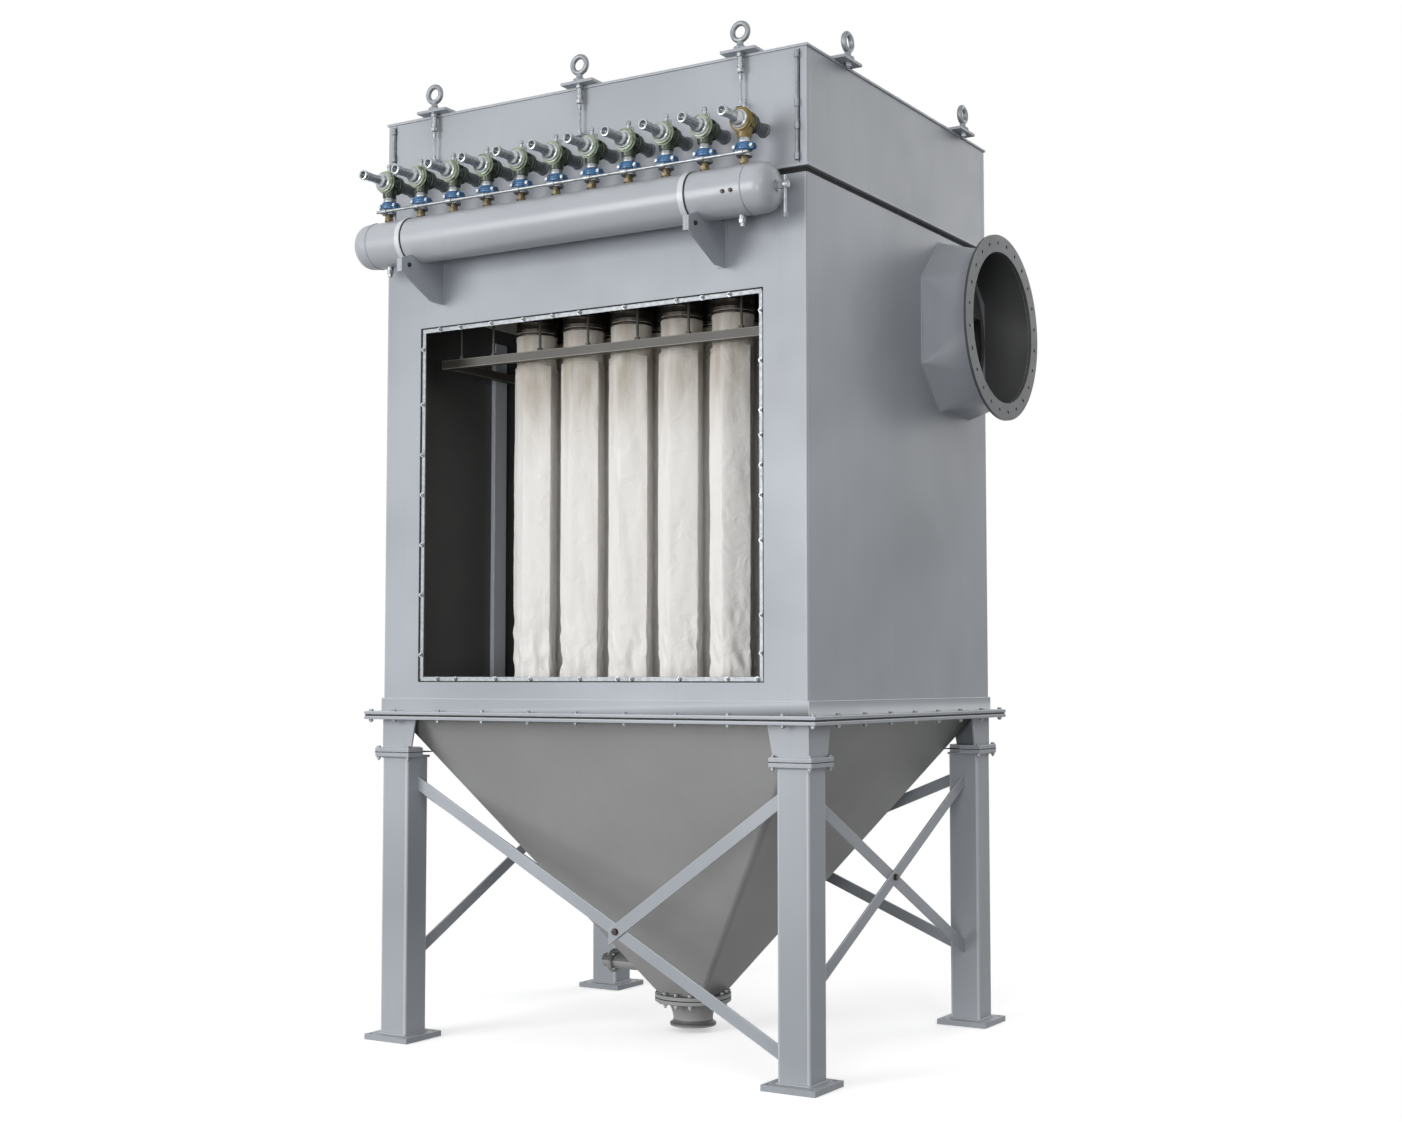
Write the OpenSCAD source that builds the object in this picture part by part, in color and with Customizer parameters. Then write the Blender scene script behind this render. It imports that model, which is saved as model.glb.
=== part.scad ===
// Baghouse filter: a pulse-cleaned bag filter on four braced legs. A sheet steel housing with an open
// access side holds the filter bags, a clean-air plenum closes its top and a dust hopper its bottom.
// A compressed-air header with a row of pulse valves runs along the front, and a round gas duct
// leaves the right side. Millimetres, +Z up, front towards -Y, origin on the floor midway between
// the four legs.

/* [Housing] */
// Width of the housing across the front
housing_w = 1800; // [1700:10:2200]
// Depth of the housing from front to back
housing_d = 1500; // [1450:10:1900]
// Height of the housing walls
housing_h = 1794; // [1700:2:2100]
// Thickness of the sheet walls
wall_t = 5; // [3:1:8]
// Width of the flat bar frame inside the top of the walls
top_frame_w = 50; // [40:2:80]
// Thickness of that flat bar frame
top_frame_t = 12; // [8:1:20]

/* [Access opening] */
// Width of the wall left beside the opening
jamb_w = 166; // [60:2:300]
// Height of the wall left above the opening
lintel_h = 368; // [340:2:500]
// Height of the sill above the foot of the wall
opening_sill = 108; // [70:2:160]
// Width of the frame lip that shows inside the opening
lip_show = 19; // [10:1:40]
// Width of the frame lip that lies behind the wall
lip_lap = 20; // [10:1:40]
// Thickness of the frame lip
lip_t = 6; // [3:1:10]

/* [Base frame] */
// How far the base flanges reach beyond the walls
flange_reach = 50; // [40:1:80]
// Thickness of each base flange
flange_t = 12; // [8:1:20]
// Thickness of the gasket between the base flanges
gasket_t = 6; // [3:1:10]
// How far the gasket stays inside the flange edge
gasket_inset = 3; // [1:1:8]
// Height of the angle's upright leg on the wall
band_h = 49; // [30:1:80]
// Thickness of the angle's upright leg
band_t = 5; // [3:1:10]

/* [Legs] */
// Side of the square base plates
foot_w = 200; // [180:5:260]
// Thickness of the base plates
foot_t = 20; // [12:1:30]
// Diameter of the anchor holes
anchor_d = 18; // [14:1:24]
// Distance from an anchor hole to the plate edge
anchor_inset = 20; // [16:1:24]
// Side of the square leg tubes
leg_w = 120; // [100:5:140]
// Wall of the leg tubes
leg_wall = 6; // [4:1:10]
// Length of the leg tubes
leg_h = 1020; // [900:10:1300]
// Thickness of the bolted plates between leg and leg head
cap_t = 16; // [10:1:24]
// How far these plates reach past the leg tube
cap_reach = 20; // [12:1:30]
// Height of the leg heads with their own plate
head_h = 122; // [100:2:160]
// Width of a leg head at its top
head_top_w = 155; // [145:1:180]
// Width of a leg head at its foot
head_foot_w = 135; // [125:1:145]
// Thickness of the leg head plates
head_t = 10; // [6:1:16]
// Clearance between the leg plates and the hopper
hopper_clear = 8; // [4:1:20]

/* [Braces] */
// Width of the brace bars
brace_w = 44; // [30:2:60]
// Thickness of the brace bars
brace_t = 8; // [6:1:14]
// Height where the braces meet the legs at the top
brace_top_z = 940; // [820:5:960]
// Height where the side and back braces meet the legs at the foot
brace_foot_z = 300; // [200:5:400]
// Height where the long front brace meets the leg at the foot
front_brace_foot_z = 92; // [70:2:200]
// Height where the short front brace meets the long one
front_cross_z = 455; // [300:5:560]
// How far the short front brace runs past the crossing
brace_past = 36; // [10:2:80]

/* [Hopper] */
// How far the hopper's top edge lies inside the housing walls
hopper_inset = 40; // [30:1:60]
// Thickness of the hopper plates
hopper_t = 5; // [3:1:8]
// Width of the hopper's square foot
neck_w = 200; // [180:2:240]
// Height of the hopper's foot above the floor
neck_z = 143; // [130:1:200]
// Diameter of the outlet flanges
outlet_flange_d = 290; // [285:1:360]
// Thickness of each outlet flange
outlet_flange_t = 16; // [10:1:20]
// Bore of the outlet flanges
outlet_bore_d = 160; // [150:1:176]
// Outer diameter of the outlet spigot's cone at its flange
cone_d = 190; // [180:1:200]
// Height of the spigot's cone
cone_h = 51; // [30:1:56]
// Outer diameter of the spigot's tube
spigot_d = 150; // [120:1:156]
// Wall of the spigot's tube
spigot_wall = 5; // [3:1:10]
// Outer diameter of the rim at the spigot's end
spigot_rim_d = 176; // [160:1:190]
// Height of that rim
spigot_rim_h = 12; // [8:1:16]
// Gap between the spigot and the floor
spigot_gap = 20; // [16:1:60]
// Diameter of the probe stub on the hopper's left side
stub_d = 60; // [40:1:76]
// Diameter of the stub's flange
stub_flange_d = 90; // [80:1:120]
// Thickness of the stub's flange
stub_flange_t = 16; // [8:1:24]
// Diameter of the stub's cap
stub_cap_d = 55; // [30:1:70]
// Height of the stub above the hopper's foot
stub_rise = 90; // [70:1:200]
// Length of the stub pipe beyond the hopper's foot
stub_l = 250; // [220:2:320]
// Length of the stub's cap
stub_cap_l = 44; // [20:2:80]

/* [Tube sheet and bags] */
// Distance from the wall top down to the tube sheet
sheet_drop = 252; // [230:2:280]
// Thickness of the tube sheet
sheet_t = 8; // [5:1:12]
// Depth of the ribs below the tube sheet
rib_h = 60; // [40:2:90]
// Thickness of the ribs
rib_t = 8; // [5:1:14]
// Number of bags across
bag_cols = 5; // [3:1:5]
// Number of bags from front to back
bag_rows = 5; // [3:1:5]
// Distance between bags
bag_pitch = 216; // [196:2:230]
// Diameter of a filter bag
bag_d = 160; // [120:2:170]
// Length of a filter bag
bag_l = 1290; // [1000:10:1340]
// Diameter of the bag collars
collar_d = 148; // [100:2:150]
// Wall of the bag collars
collar_wall = 3; // [2:1:5]
// Length of the bag collars
collar_h = 150; // [110:2:170]
// Room between the guide frame and the side walls
guide_wall_room = 118; // [60:2:200]
// Room between the outer bags and the guide frame at front and back
guide_front_room = 32; // [20:1:60]
// Thickness of the guide frame bars
guide_bar = 30; // [20:1:34]
// Height of the guide frame bars
guide_bar_h = 34; // [20:1:50]
// Distance from the tube sheet down to the guide frame
guide_drop = 208; // [160:2:240]
// Diameter of the guide frame's hangers
hanger_d = 10; // [6:1:16]
// Distance from the outer ribs to the ends of the guide frame
rib_end_room = 70; // [40:2:100]
// Width of the stiffeners on the side walls
stiffener_w = 80; // [40:2:100]
// Depth of the stiffeners
stiffener_t = 20; // [10:1:40]
// Place of the stiffeners, measured from the middle to the back
stiffener_y = -72; // [-200:2:50]

/* [Plenum] */
// Height of the dark seam under the plenum
seam_h = 20; // [10:1:30]
// How far the seam's gasket lies back from the walls
seam_inset = 10; // [5:1:20]
// Thickness of the plenum's bottom flange
plenum_lip_t = 8; // [6:1:14]
// How far that flange stands proud of the walls
plenum_lip_reach = 8; // [4:1:16]
// Height of the plenum walls
plenum_h = 395; // [340:5:500]
// Side of the plenum's corner posts
post_w = 32; // [24:1:50]
// Wall of the corner posts
post_wall = 3; // [2:1:5]
// Thickness of the plenum's front panel
panel_t = 6; // [4:1:10]
// Thickness of the roof plate
roof_t = 10; // [5:1:16]
// Overhang of the roof plate
roof_overhang = 6; // [2:1:16]
// Diameter of the panel's hinge and latch rods
rod_d = 12; // [8:1:16]
// Diameter of the knuckles on these rods
knuckle_d = 22; // [18:1:30]
// Length of a knuckle
knuckle_l = 26; // [16:1:40]
// Distance from the hinge rod's ends to the panel's ends
hinge_end_room = 12; // [8:1:40]
// Share of the hinge rod below its second knuckle
second_knuckle = 0.3; // [0.2:0.01:0.4]
// Share of the hinge rod below its third knuckle
third_knuckle = 0.52; // [0.48:0.01:0.8]
// Length of the latch rod
latch_l = 130; // [90:2:200]

/* [Lifting eyes] */
// Outer diameter of an eye's ring
eye_d = 77; // [60:1:90]
// Bore of an eye's ring
eye_bore_d = 40; // [26:1:44]
// Height of an eye above its plate
eye_h = 100; // [92:1:130]
// Thickness of an eye's ring
eye_t = 22; // [14:1:28]
// Width of an eye's foot
eye_foot_w = 46; // [30:1:60]
// Diameter of an eye's shank
shank_d = 14; // [10:1:20]
// Length of the front eyes' shanks below the plate
shank_l = 70; // [40:1:90]
// Length of the other eyes' shanks below the plate
short_shank_l = 20; // [14:1:36]
// Distance from the housing's corners to the outer front eyes
eye_corner_room = 240; // [160:5:400]
// Distance from the housing's corners to the side eyes
side_eye_room = 260; // [160:5:400]
// Length of the eye plates along the roof edge
eye_plate_l = 136; // [90:2:180]
// Width of the eye plates
eye_plate_w = 84; // [70:2:110]
// Thickness of the eye plates
eye_plate_t = 10; // [6:1:16]
// How far an eye's axis stands off the wall
eye_off = 22; // [20:1:30]
// Clearance of the shank in its plate
shank_clear = 0.5; // [0.2:0.1:1]
// Diameter of the stays under the front eyes
stay_d = 8; // [4:1:12]
// Length of the stays
stay_l = 105; // [60:5:120]
// Thickness of the lugs that hold the stays
lug_t = 12; // [6:1:20]
// Width of these lugs
lug_w = 30; // [20:1:50]

/* [Air header] */
// Diameter of the header
header_d = 168; // [140:2:190]
// Wall of the header
header_wall = 5; // [3:1:10]
// Distance from the header's straight ends to the housing's sides, taken at the middle
header_side_room = 75; // [40:1:100]
// Depth of the domed ends
dome_h = 57; // [40:1:70]
// Sideways place of the header's middle
header_x = -22; // [-60:2:60]
// Distance from the front wall to the header's axis
header_off = 130; // [115:1:170]
// Distance from the wall top down to the header's axis
header_drop = 72; // [40:2:110]
// Distance from the header's straight ends to its brackets
bracket_room = 217; // [150:1:300]
// Thickness of the brackets
bracket_t = 8; // [6:1:14]
// How far the brackets stand out past the header
bracket_reach = 26; // [18:1:40]
// Depth of the brackets below the header
bracket_drop = 132; // [80:2:180]
// Size of the slope on the brackets' lower front
bracket_slope = 150; // [80:2:180]
// Height of the brackets' front horn, measured down from the header's axis
bracket_horn = 42; // [20:2:70]
// Diameter of the hole in the front horn
horn_hole_d = 10; // [6:1:12]
// Distance from the header's straight ends to its drain plugs
drain_room = 73; // [40:1:140]
// Diameter of the drain plugs
drain_d = 26; // [16:1:40]
// Length of the drain plugs
drain_l = 36; // [20:1:60]
// Diameter of the end tap
tap_d = 28; // [16:1:36]
// Length of the end tap
tap_l = 44; // [30:1:60]
// Length of the tap's hanging lever
lever_l = 110; // [60:2:140]
// Thickness of the tap's lever
lever_t = 12; // [6:1:16]

/* [Pulse valves] */
// Number of pulse valves
valve_count = 11; // [5:1:11]
// Distance from the header's straight ends to the end valves
valve_room = 65; // [50:1:120]
// Diameter of the brass nipples on the header
nipple_d = 34; // [24:1:40]
// Height of the nipples above the header
nipple_h = 26; // [16:1:40]
// Width across the corners of the hexagon rings
hex_d = 62; // [46:1:66]
// Height of the hexagon rings
hex_h = 18; // [10:1:26]
// Diameter of the clamps
clamp_d = 66; // [50:1:72]
// Height of the clamps
clamp_h = 32; // [20:1:44]
// Diameter of the necks under the valve bodies
neck_d = 44; // [30:1:50]
// Height of the necks up to the valve bodies
neck_h = 33; // [16:1:40]
// Diameter of the valve bodies
valve_d = 76; // [64:1:92]
// Length of the valve bodies
valve_l = 76; // [60:1:90]
// Diameter of the rims on the valve bodies
rim_d = 84; // [76:1:104]
// Thickness of the rims
rim_t = 14; // [8:1:20]
// Diameter of the actuators at the valve body
actuator_d = 60; // [44:1:72]
// Diameter of the actuators' barrels
barrel_d = 34; // [24:1:44]
// Length of the actuators
actuator_l = 112; // [90:2:160]
// Length of the actuators' shoulders
shoulder_l = 34; // [20:1:50]
// Bore in the actuators' tips
tip_bore_d = 20; // [8:1:22]
// Depth of that bore
tip_bore_l = 30; // [10:1:50]
// Diameter of the blow pipes
blow_d = 42; // [34:1:56]
// Diameter of the pilot rail
rail_d = 12; // [8:1:18]

/* [Duct] */
// Distance from the back wall to the duct's axis
duct_back_room = 305; // [302:1:380]
// Distance from the wall top down to the duct's axis
duct_drop = 352; // [340:2:420]
// Bore of the duct flange
duct_bore_d = 570; // [500:5:580]
// Outer diameter of the duct flange
duct_flange_d = 700; // [680:5:760]
// Thickness of the duct flange
duct_flange_t = 12; // [8:1:20]
// How far the duct flange stands off the wall
duct_reach = 200; // [150:5:300]
// Sheet thickness of the duct piece
duct_wall = 4; // [3:1:8]
// Width of the duct piece on the wall
duct_base_w = 600; // [580:5:605]
// Height of the duct piece on the wall
duct_base_h = 640; // [600:5:660]
// Size of the cut corners of the duct piece
duct_chamfer = 160; // [120:5:180]
// Number of bolt holes in the duct flange
duct_bolts = 24; // [12:4:32]
// Diameter of these bolt holes
duct_bolt_d = 14; // [10:1:18]
// Diameter of the bolt circle
duct_pcd = 636; // [620:1:650]
// Width of the wall left round the gas port
port_rim = 10; // [5:1:20]

/* [Hidden] */

// Facets of the small round pieces, of the duct piece and of its flange
$fn = 48;
loft_fn = 64;
flange_fn = 96;

// Levels, from the floor up
leg_top_z = foot_t + leg_h;
head_z = leg_top_z + cap_t;
hopper_top_z = head_z + head_h;
gasket_z = hopper_top_z + flange_t;
base_z = gasket_z + gasket_t;
wall_z = base_z + flange_t;
wall_top_z = wall_z + housing_h;
lip_z = wall_top_z + seam_h;
plenum_z = lip_z + plenum_lip_t;
roof_z = plenum_z + plenum_h;
roof_top_z = roof_z + roof_t;
sheet_z = wall_top_z - sheet_drop;
rib_z = sheet_z - rib_h;
bag_top_z = sheet_z - collar_h;
guide_z = sheet_z - guide_drop;
sill_z = wall_z + opening_sill;
opening_w = housing_w - 2 * jamb_w;
opening_h = housing_h - opening_sill - lintel_h;
eye_z = roof_top_z + eye_plate_t;

// Half sizes of the housing and of the space inside it
hx = housing_w / 2;
hy = housing_d / 2;
ix = hx - wall_t;
iy = hy - wall_t;

// Hopper slopes, sideways travel for each millimetre of height
hopper_x = hx - hopper_inset;
hopper_y = hy - hopper_inset;
slope_x = (hopper_x - neck_w / 2) / (hopper_top_z - neck_z);
slope_y = (hopper_y - neck_w / 2) / (hopper_top_z - neck_z);
hopper_tx = hopper_t * sqrt(1 + slope_x * slope_x);
hopper_ty = hopper_t * sqrt(1 + slope_y * slope_y);
cap_w = leg_w + 2 * cap_reach;
cap_cut = 2 * (leg_w + cap_reach + hopper_clear) - 2 * hopper_inset
    - (hopper_top_z - head_z - cap_t) * (slope_x + slope_y);

// Braces, from leg to leg on the legs' middle lines
brace_x = hx - leg_w;
brace_y = hy - leg_w / 2;
brace_side_x = hx - leg_w / 2;
brace_side_y = hy - leg_w;
front_cross_x = -brace_x + (brace_top_z - front_cross_z) / (brace_top_z - front_brace_foot_z)
    * 2 * brace_x;

// Bag grid, ribs and guide frame
bag_x = [for (i = [0 : bag_cols - 1]) (i - (bag_cols - 1) / 2) * bag_pitch];
bag_y = [for (i = [0 : bag_rows - 1]) (i - (bag_rows - 1) / 2) * bag_pitch];
guide_x = ix - guide_wall_room - guide_bar / 2;
guide_y = bag_y[bag_rows - 1] + bag_d / 2 + guide_front_room + guide_bar / 2;
rib_x = concat([-guide_x + rib_end_room],
    [for (i = [0 : bag_cols]) (i - bag_cols / 2) * bag_pitch], [guide_x - rib_end_room]);

// Header and valve stack
header_l = housing_w - 2 * header_side_room;
header_y = -hy - header_off;
header_z = wall_top_z - header_drop;
header_r = header_d / 2;
dome_r = (header_r * header_r + dome_h * dome_h) / (2 * dome_h);
header_end_x = header_x + header_l / 2;
bracket_x = header_l / 2 - bracket_room;
drain_x = header_l / 2 - drain_room;
valve_pitch = (header_l - 2 * valve_room) / (valve_count - 1);
hex_z = header_z + header_r + nipple_h;
clamp_z = hex_z + hex_h;
neck_top_z = clamp_z + clamp_h;
valve_z = neck_top_z + neck_h + valve_d / 2;
valve_x = [for (i = [0 : valve_count - 1])
    header_x + (i - (valve_count - 1) / 2) * valve_pitch];
valve_front_y = header_y - valve_l / 2;
valve_back_y = header_y + valve_l / 2;

// Lifting eyes, as places and turns on the roof edge
eye_pitch = hx - eye_corner_room;
side_eye_y = hy - side_eye_room;
eye_x = hx + eye_off;
eye_y = hy + eye_off;
eye_spots = concat(
    [for (i = [-1 : 1]) [i * eye_pitch, -eye_y, 0]],
    [for (i = [-1 : 1]) [i * eye_pitch, eye_y, 180]],
    [for (s = [-1, 1]) [eye_x, s * side_eye_y, 90]],
    [for (s = [-1, 1]) [-eye_x, s * side_eye_y, 270]]);
front_eyes = [for (s = eye_spots) if (s[2] == 0) s];
other_eyes = [for (s = eye_spots) if (s[2] != 0) s];
shank_end_z = roof_top_z - shank_l;

// Duct
duct_y = hy - duct_back_room;
duct_z = wall_top_z - duct_drop;
duct_flange_x = hx + duct_reach - duct_flange_t;
port_r = duct_bore_d / 2 - port_rim;

// How far a cut runs past the faces that it opens
over = 1;

paint = "#a3a8ae";
dark = "#2b2c2e";
steel = "#9ea2a6";

// A box between two corners
module box(low, high) {
    translate(low) cube(high - low);
}

// A flat rectangular ring between an outer and an inner half size
module flat_ring(outer, inner, low, high) {
    difference() {
        box([-outer[0], -outer[1], low], [outer[0], outer[1], high]);
        box([-inner[0], -inner[1], low - over], [inner[0], inner[1], high + over]);
    }
}

// One piece for each of the four legs, drawn for the corner at +X +Y and mirrored to the rest
module at_corners() {
    for (sx = [0, 1], sy = [0, 1])
        mirror([sx, 0, 0]) mirror([0, sy, 0]) children();
}

// A flat bar with upright ends from [x, z] to [x, z], drawn in the XZ plane and 0 to brace_t along Y
module brace(start, finish) {
    run = finish - start;
    half = brace_w / 2 * norm(run) / abs(run[0]);
    rotate([90, 0, 0]) translate([0, 0, -brace_t])
        linear_extrude(brace_t)
            polygon([start - [0, half], finish - [0, half], finish + [0, half], start + [0, half]]);
}

// A cylinder along +X or +Y from a point
module rod_x(at, d, l) {
    translate(at) rotate([0, 90, 0]) cylinder(d = d, h = l);
}
module rod_y(at, d, l) {
    translate(at) rotate([-90, 0, 0]) cylinder(d = d, h = l);
}

module base_plates() {
    hole = foot_w / 2 - anchor_inset;
    color(paint) at_corners() translate([hx - leg_w / 2, hy - leg_w / 2, 0]) difference() {
        box([-foot_w / 2, -foot_w / 2, 0], [foot_w / 2, foot_w / 2, foot_t]);
        for (x = [-hole, hole], y = [-hole, hole])
            translate([x, y, -over]) cylinder(d = anchor_d, h = foot_t + 2 * over);
    }
}

module legs() {
    color(paint) at_corners() difference() {
        box([hx - leg_w, hy - leg_w, foot_t], [hx, hy, leg_top_z]);
        box([hx - leg_w + leg_wall, hy - leg_w + leg_wall, foot_t - over],
            [hx - leg_wall, hy - leg_wall, leg_top_z + over]);
    }
}

// A square plate over the leg at +X +Y, its inner corner cut back from the hopper
module cap_plate(z) {
    far_x = hx + cap_reach;
    far_y = hy + cap_reach;
    cut = max(cap_cut, over);
    translate([0, 0, z]) linear_extrude(cap_t) polygon([
        [far_x, far_y], [far_x - cap_w, far_y], [far_x - cap_w, far_y - cap_w + cut],
        [far_x - cap_w + cut, far_y - cap_w], [far_x, far_y - cap_w]]);
}

module leg_cap_plates() {
    color(paint) at_corners() cap_plate(leg_top_z);
}

// Two upright tapered plates round the outer corner, on their own bolted plate
module leg_heads() {
    foot = head_z + cap_t;
    side = [[0, foot], [head_foot_w, foot], [head_top_w, hopper_top_z], [0, hopper_top_z]];
    color(paint) at_corners() union() {
        cap_plate(head_z);
        translate([hx, hy, 0]) rotate([90, 0, 0]) mirror([1, 0, 0])
            linear_extrude(head_t) polygon(side);
        translate([hx - head_t, hy, 0]) rotate([90, 0, 90]) mirror([1, 0, 0])
            linear_extrude(head_t) polygon(side);
    }
}

module front_brace_long() {
    color(paint) translate([0, -brace_y, 0])
        brace([-brace_x, brace_top_z], [brace_x, front_brace_foot_z]);
}

module front_brace_short() {
    run = [brace_x - front_cross_x, brace_top_z - front_cross_z];
    color(paint) translate([0, -brace_y - brace_t, 0])
        brace([front_cross_x, front_cross_z] - brace_past * run / norm(run), [brace_x, brace_top_z]);
}

module braces_falling() {
    color(paint) {
        for (s = [-1, 1])
            translate([s * brace_side_x - brace_t, 0, 0]) rotate([0, 0, 90]) mirror([0, 1, 0])
                brace([-brace_side_y, brace_top_z], [brace_side_y, brace_foot_z]);
        translate([0, brace_y - brace_t, 0]) brace([-brace_x, brace_top_z], [brace_x, brace_foot_z]);
    }
}

module braces_rising() {
    color(paint) {
        for (s = [-1, 1])
            translate([s * brace_side_x, 0, 0]) rotate([0, 0, 90]) mirror([0, 1, 0])
                brace([-brace_side_y, brace_foot_z], [brace_side_y, brace_top_z]);
        translate([0, brace_y, 0]) brace([-brace_x, brace_foot_z], [brace_x, brace_top_z]);
    }
}

module hopper_flange_frame() {
    color(paint) flat_ring([hx + flange_reach, hy + flange_reach],
        [hopper_x - hopper_tx, hopper_y - hopper_ty], hopper_top_z, gasket_z);
}

module hopper_gasket() {
    color(dark) flat_ring([hx + flange_reach - gasket_inset, hy + flange_reach - gasket_inset],
        [ix, iy], gasket_z, base_z);
}

module base_angle_frame() {
    color(paint) union() {
        flat_ring([hx + flange_reach, hy + flange_reach], [ix, iy], base_z, wall_z);
        flat_ring([hx + band_t, hy + band_t], [hx, hy], base_z, wall_z + band_h);
    }
}

// A sloped plate at the -Y side, from half sizes at the top and foot, with mitred ends
module hopper_plate(top_half, top_out, tx, ty) {
    foot = neck_w / 2;
    points = [
        for (p = [[top_half, top_out, hopper_top_z], [foot, foot, neck_z]], n = [0, 1], s = [-1, 1])
            [s * (p[0] - n * tx), -(p[1] - n * ty), p[2]]
    ];
    polyhedron(points, [[0, 2, 3, 1], [0, 1, 5, 4], [2, 6, 7, 3], [4, 5, 7, 6], [0, 4, 6, 2], [1, 3, 7, 5]]);
}

module hopper_front_plate() {
    color(paint) hopper_plate(hopper_x, hopper_y, hopper_tx, hopper_ty);
}

module hopper_back_plate() {
    color(paint) rotate([0, 0, 180]) hopper_plate(hopper_x, hopper_y, hopper_tx, hopper_ty);
}

module hopper_left_plate() {
    color(paint) rotate([0, 0, -90]) hopper_plate(hopper_y, hopper_x, hopper_ty, hopper_tx);
}

module hopper_right_plate() {
    color(paint) rotate([0, 0, 90]) hopper_plate(hopper_y, hopper_x, hopper_ty, hopper_tx);
}

module outlet_flange() {
    color(paint) translate([0, 0, neck_z - outlet_flange_t]) difference() {
        cylinder(d = outlet_flange_d, h = outlet_flange_t);
        translate([0, 0, -over]) cylinder(d = outlet_bore_d, h = outlet_flange_t + 2 * over);
    }
}

// The spigot is turned from its half outline: flange, cone, tube and rim, then back up the bore
module outlet_spigot() {
    top = neck_z - outlet_flange_t;
    flange_z = top - outlet_flange_t;
    cone_z = flange_z - cone_h;
    rim_z = spigot_gap + spigot_rim_h;
    tube_r = spigot_d / 2;
    color(paint) rotate_extrude() polygon([
        [outlet_bore_d / 2, top], [outlet_flange_d / 2, top], [outlet_flange_d / 2, flange_z],
        [cone_d / 2, flange_z], [tube_r, cone_z], [tube_r, rim_z], [spigot_rim_d / 2, rim_z],
        [spigot_rim_d / 2, spigot_gap], [tube_r - spigot_wall, spigot_gap],
        [tube_r - spigot_wall, cone_z], [outlet_bore_d / 2, flange_z]]);
}

// Probe stub: a pipe out of the hopper's sloped side, its flange and its cap
module side_stub() {
    stub_z = neck_z + stub_rise;
    pipe_end = neck_w / 2 + stub_l;
    color(steel) difference() {
        union() {
            rod_x([-pipe_end, 0, stub_z], stub_d, pipe_end);
            rod_x([-pipe_end - stub_flange_t, 0, stub_z], stub_flange_d, stub_flange_t);
            rod_x([-pipe_end - stub_flange_t - stub_cap_l, 0, stub_z], stub_cap_d, stub_cap_l);
        }
        rotate([90, 0, 0]) translate([0, 0, -stub_d]) linear_extrude(2 * stub_d) polygon([
            [-neck_w / 2, neck_z], [-hopper_x, hopper_top_z], [hopper_x, hopper_top_z],
            [neck_w / 2, neck_z]]);
    }
}

module front_wall() {
    color(paint) difference() {
        box([-hx, -hy, wall_z], [hx, -iy, wall_top_z]);
        box([-opening_w / 2, -hy - over, sill_z], [opening_w / 2, -iy + over, sill_z + opening_h]);
    }
}

module back_wall() {
    color(paint) box([-hx, iy, wall_z], [hx, hy, wall_top_z]);
}

module left_wall() {
    color(paint) box([-hx, -iy, wall_z], [-ix, iy, wall_top_z]);
}

// The gas port is a circle that stops below the tube sheet
module right_wall() {
    color(paint) difference() {
        box([ix, -iy, wall_z], [hx, iy, wall_top_z]);
        intersection() {
            rod_x([ix - over, duct_y, duct_z], 2 * port_r, wall_t + 2 * over);
            box([ix - over, -hy, wall_z], [hx + over, hy, sheet_z - port_rim]);
        }
    }
}

module opening_frame() {
    out = [opening_w / 2 + lip_lap, opening_h / 2 + lip_lap];
    clear = [opening_w / 2 - lip_show, opening_h / 2 - lip_show];
    color(steel) translate([0, -iy + lip_t, sill_z + opening_h / 2]) rotate([90, 0, 0])
        flat_ring(out, clear, 0, lip_t);
}

module housing_top_frame() {
    color(paint) flat_ring([ix, iy], [ix - top_frame_w, iy - top_frame_w],
        wall_top_z - top_frame_t, wall_top_z);
}

module wall_stiffeners() {
    color(paint) for (s = [0, 1]) mirror([s, 0, 0])
        box([ix - stiffener_t, stiffener_y - stiffener_w / 2, wall_z],
            [ix, stiffener_y + stiffener_w / 2, rib_z]);
}

module tube_sheet() {
    color(paint) difference() {
        box([-ix, -iy, sheet_z], [ix, iy, sheet_z + sheet_t]);
        for (x = bag_x, y = bag_y)
            translate([x, y, sheet_z - over])
                cylinder(d = collar_d - 2 * collar_wall, h = sheet_t + 2 * over);
    }
}

module sheet_ribs() {
    color(paint) for (x = rib_x) box([x - rib_t / 2, -iy, rib_z], [x + rib_t / 2, iy, sheet_z]);
}

module filter_bags() {
    color("#e0deda") for (x = bag_x, y = bag_y)
        translate([x, y, bag_top_z - bag_l]) cylinder(d = bag_d, h = bag_l);
}

module bag_collars() {
    color(steel) for (x = bag_x, y = bag_y) translate([x, y, bag_top_z]) difference() {
        cylinder(d = collar_d, h = collar_h);
        translate([0, 0, -over]) cylinder(d = collar_d - 2 * collar_wall, h = collar_h + 2 * over);
    }
}

module bag_guide_frame() {
    half = guide_bar / 2;
    color(steel) flat_ring([guide_x + half, guide_y + half], [guide_x - half, guide_y - half],
        guide_z - guide_bar_h, guide_z);
}

module guide_hangers() {
    color(steel) for (x = rib_x, y = [-guide_y, guide_y])
        translate([x, y, guide_z]) cylinder(d = hanger_d, h = rib_z - guide_z);
}

module seam_gasket() {
    color(dark) flat_ring([hx - seam_inset, hy - seam_inset], [ix - top_frame_w, iy - top_frame_w],
        wall_top_z, lip_z);
}

module plenum_lip() {
    color(paint) flat_ring([hx + plenum_lip_reach, hy + plenum_lip_reach],
        [ix - top_frame_w, iy - top_frame_w], lip_z, plenum_z);
}

module plenum_corner_posts() {
    color(paint) at_corners() difference() {
        box([hx - post_w, hy - post_w, plenum_z], [hx, hy, roof_z]);
        box([hx - post_w + post_wall, hy - post_w + post_wall, plenum_z - over],
            [hx - post_wall, hy - post_wall, roof_z + over]);
    }
}

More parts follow.
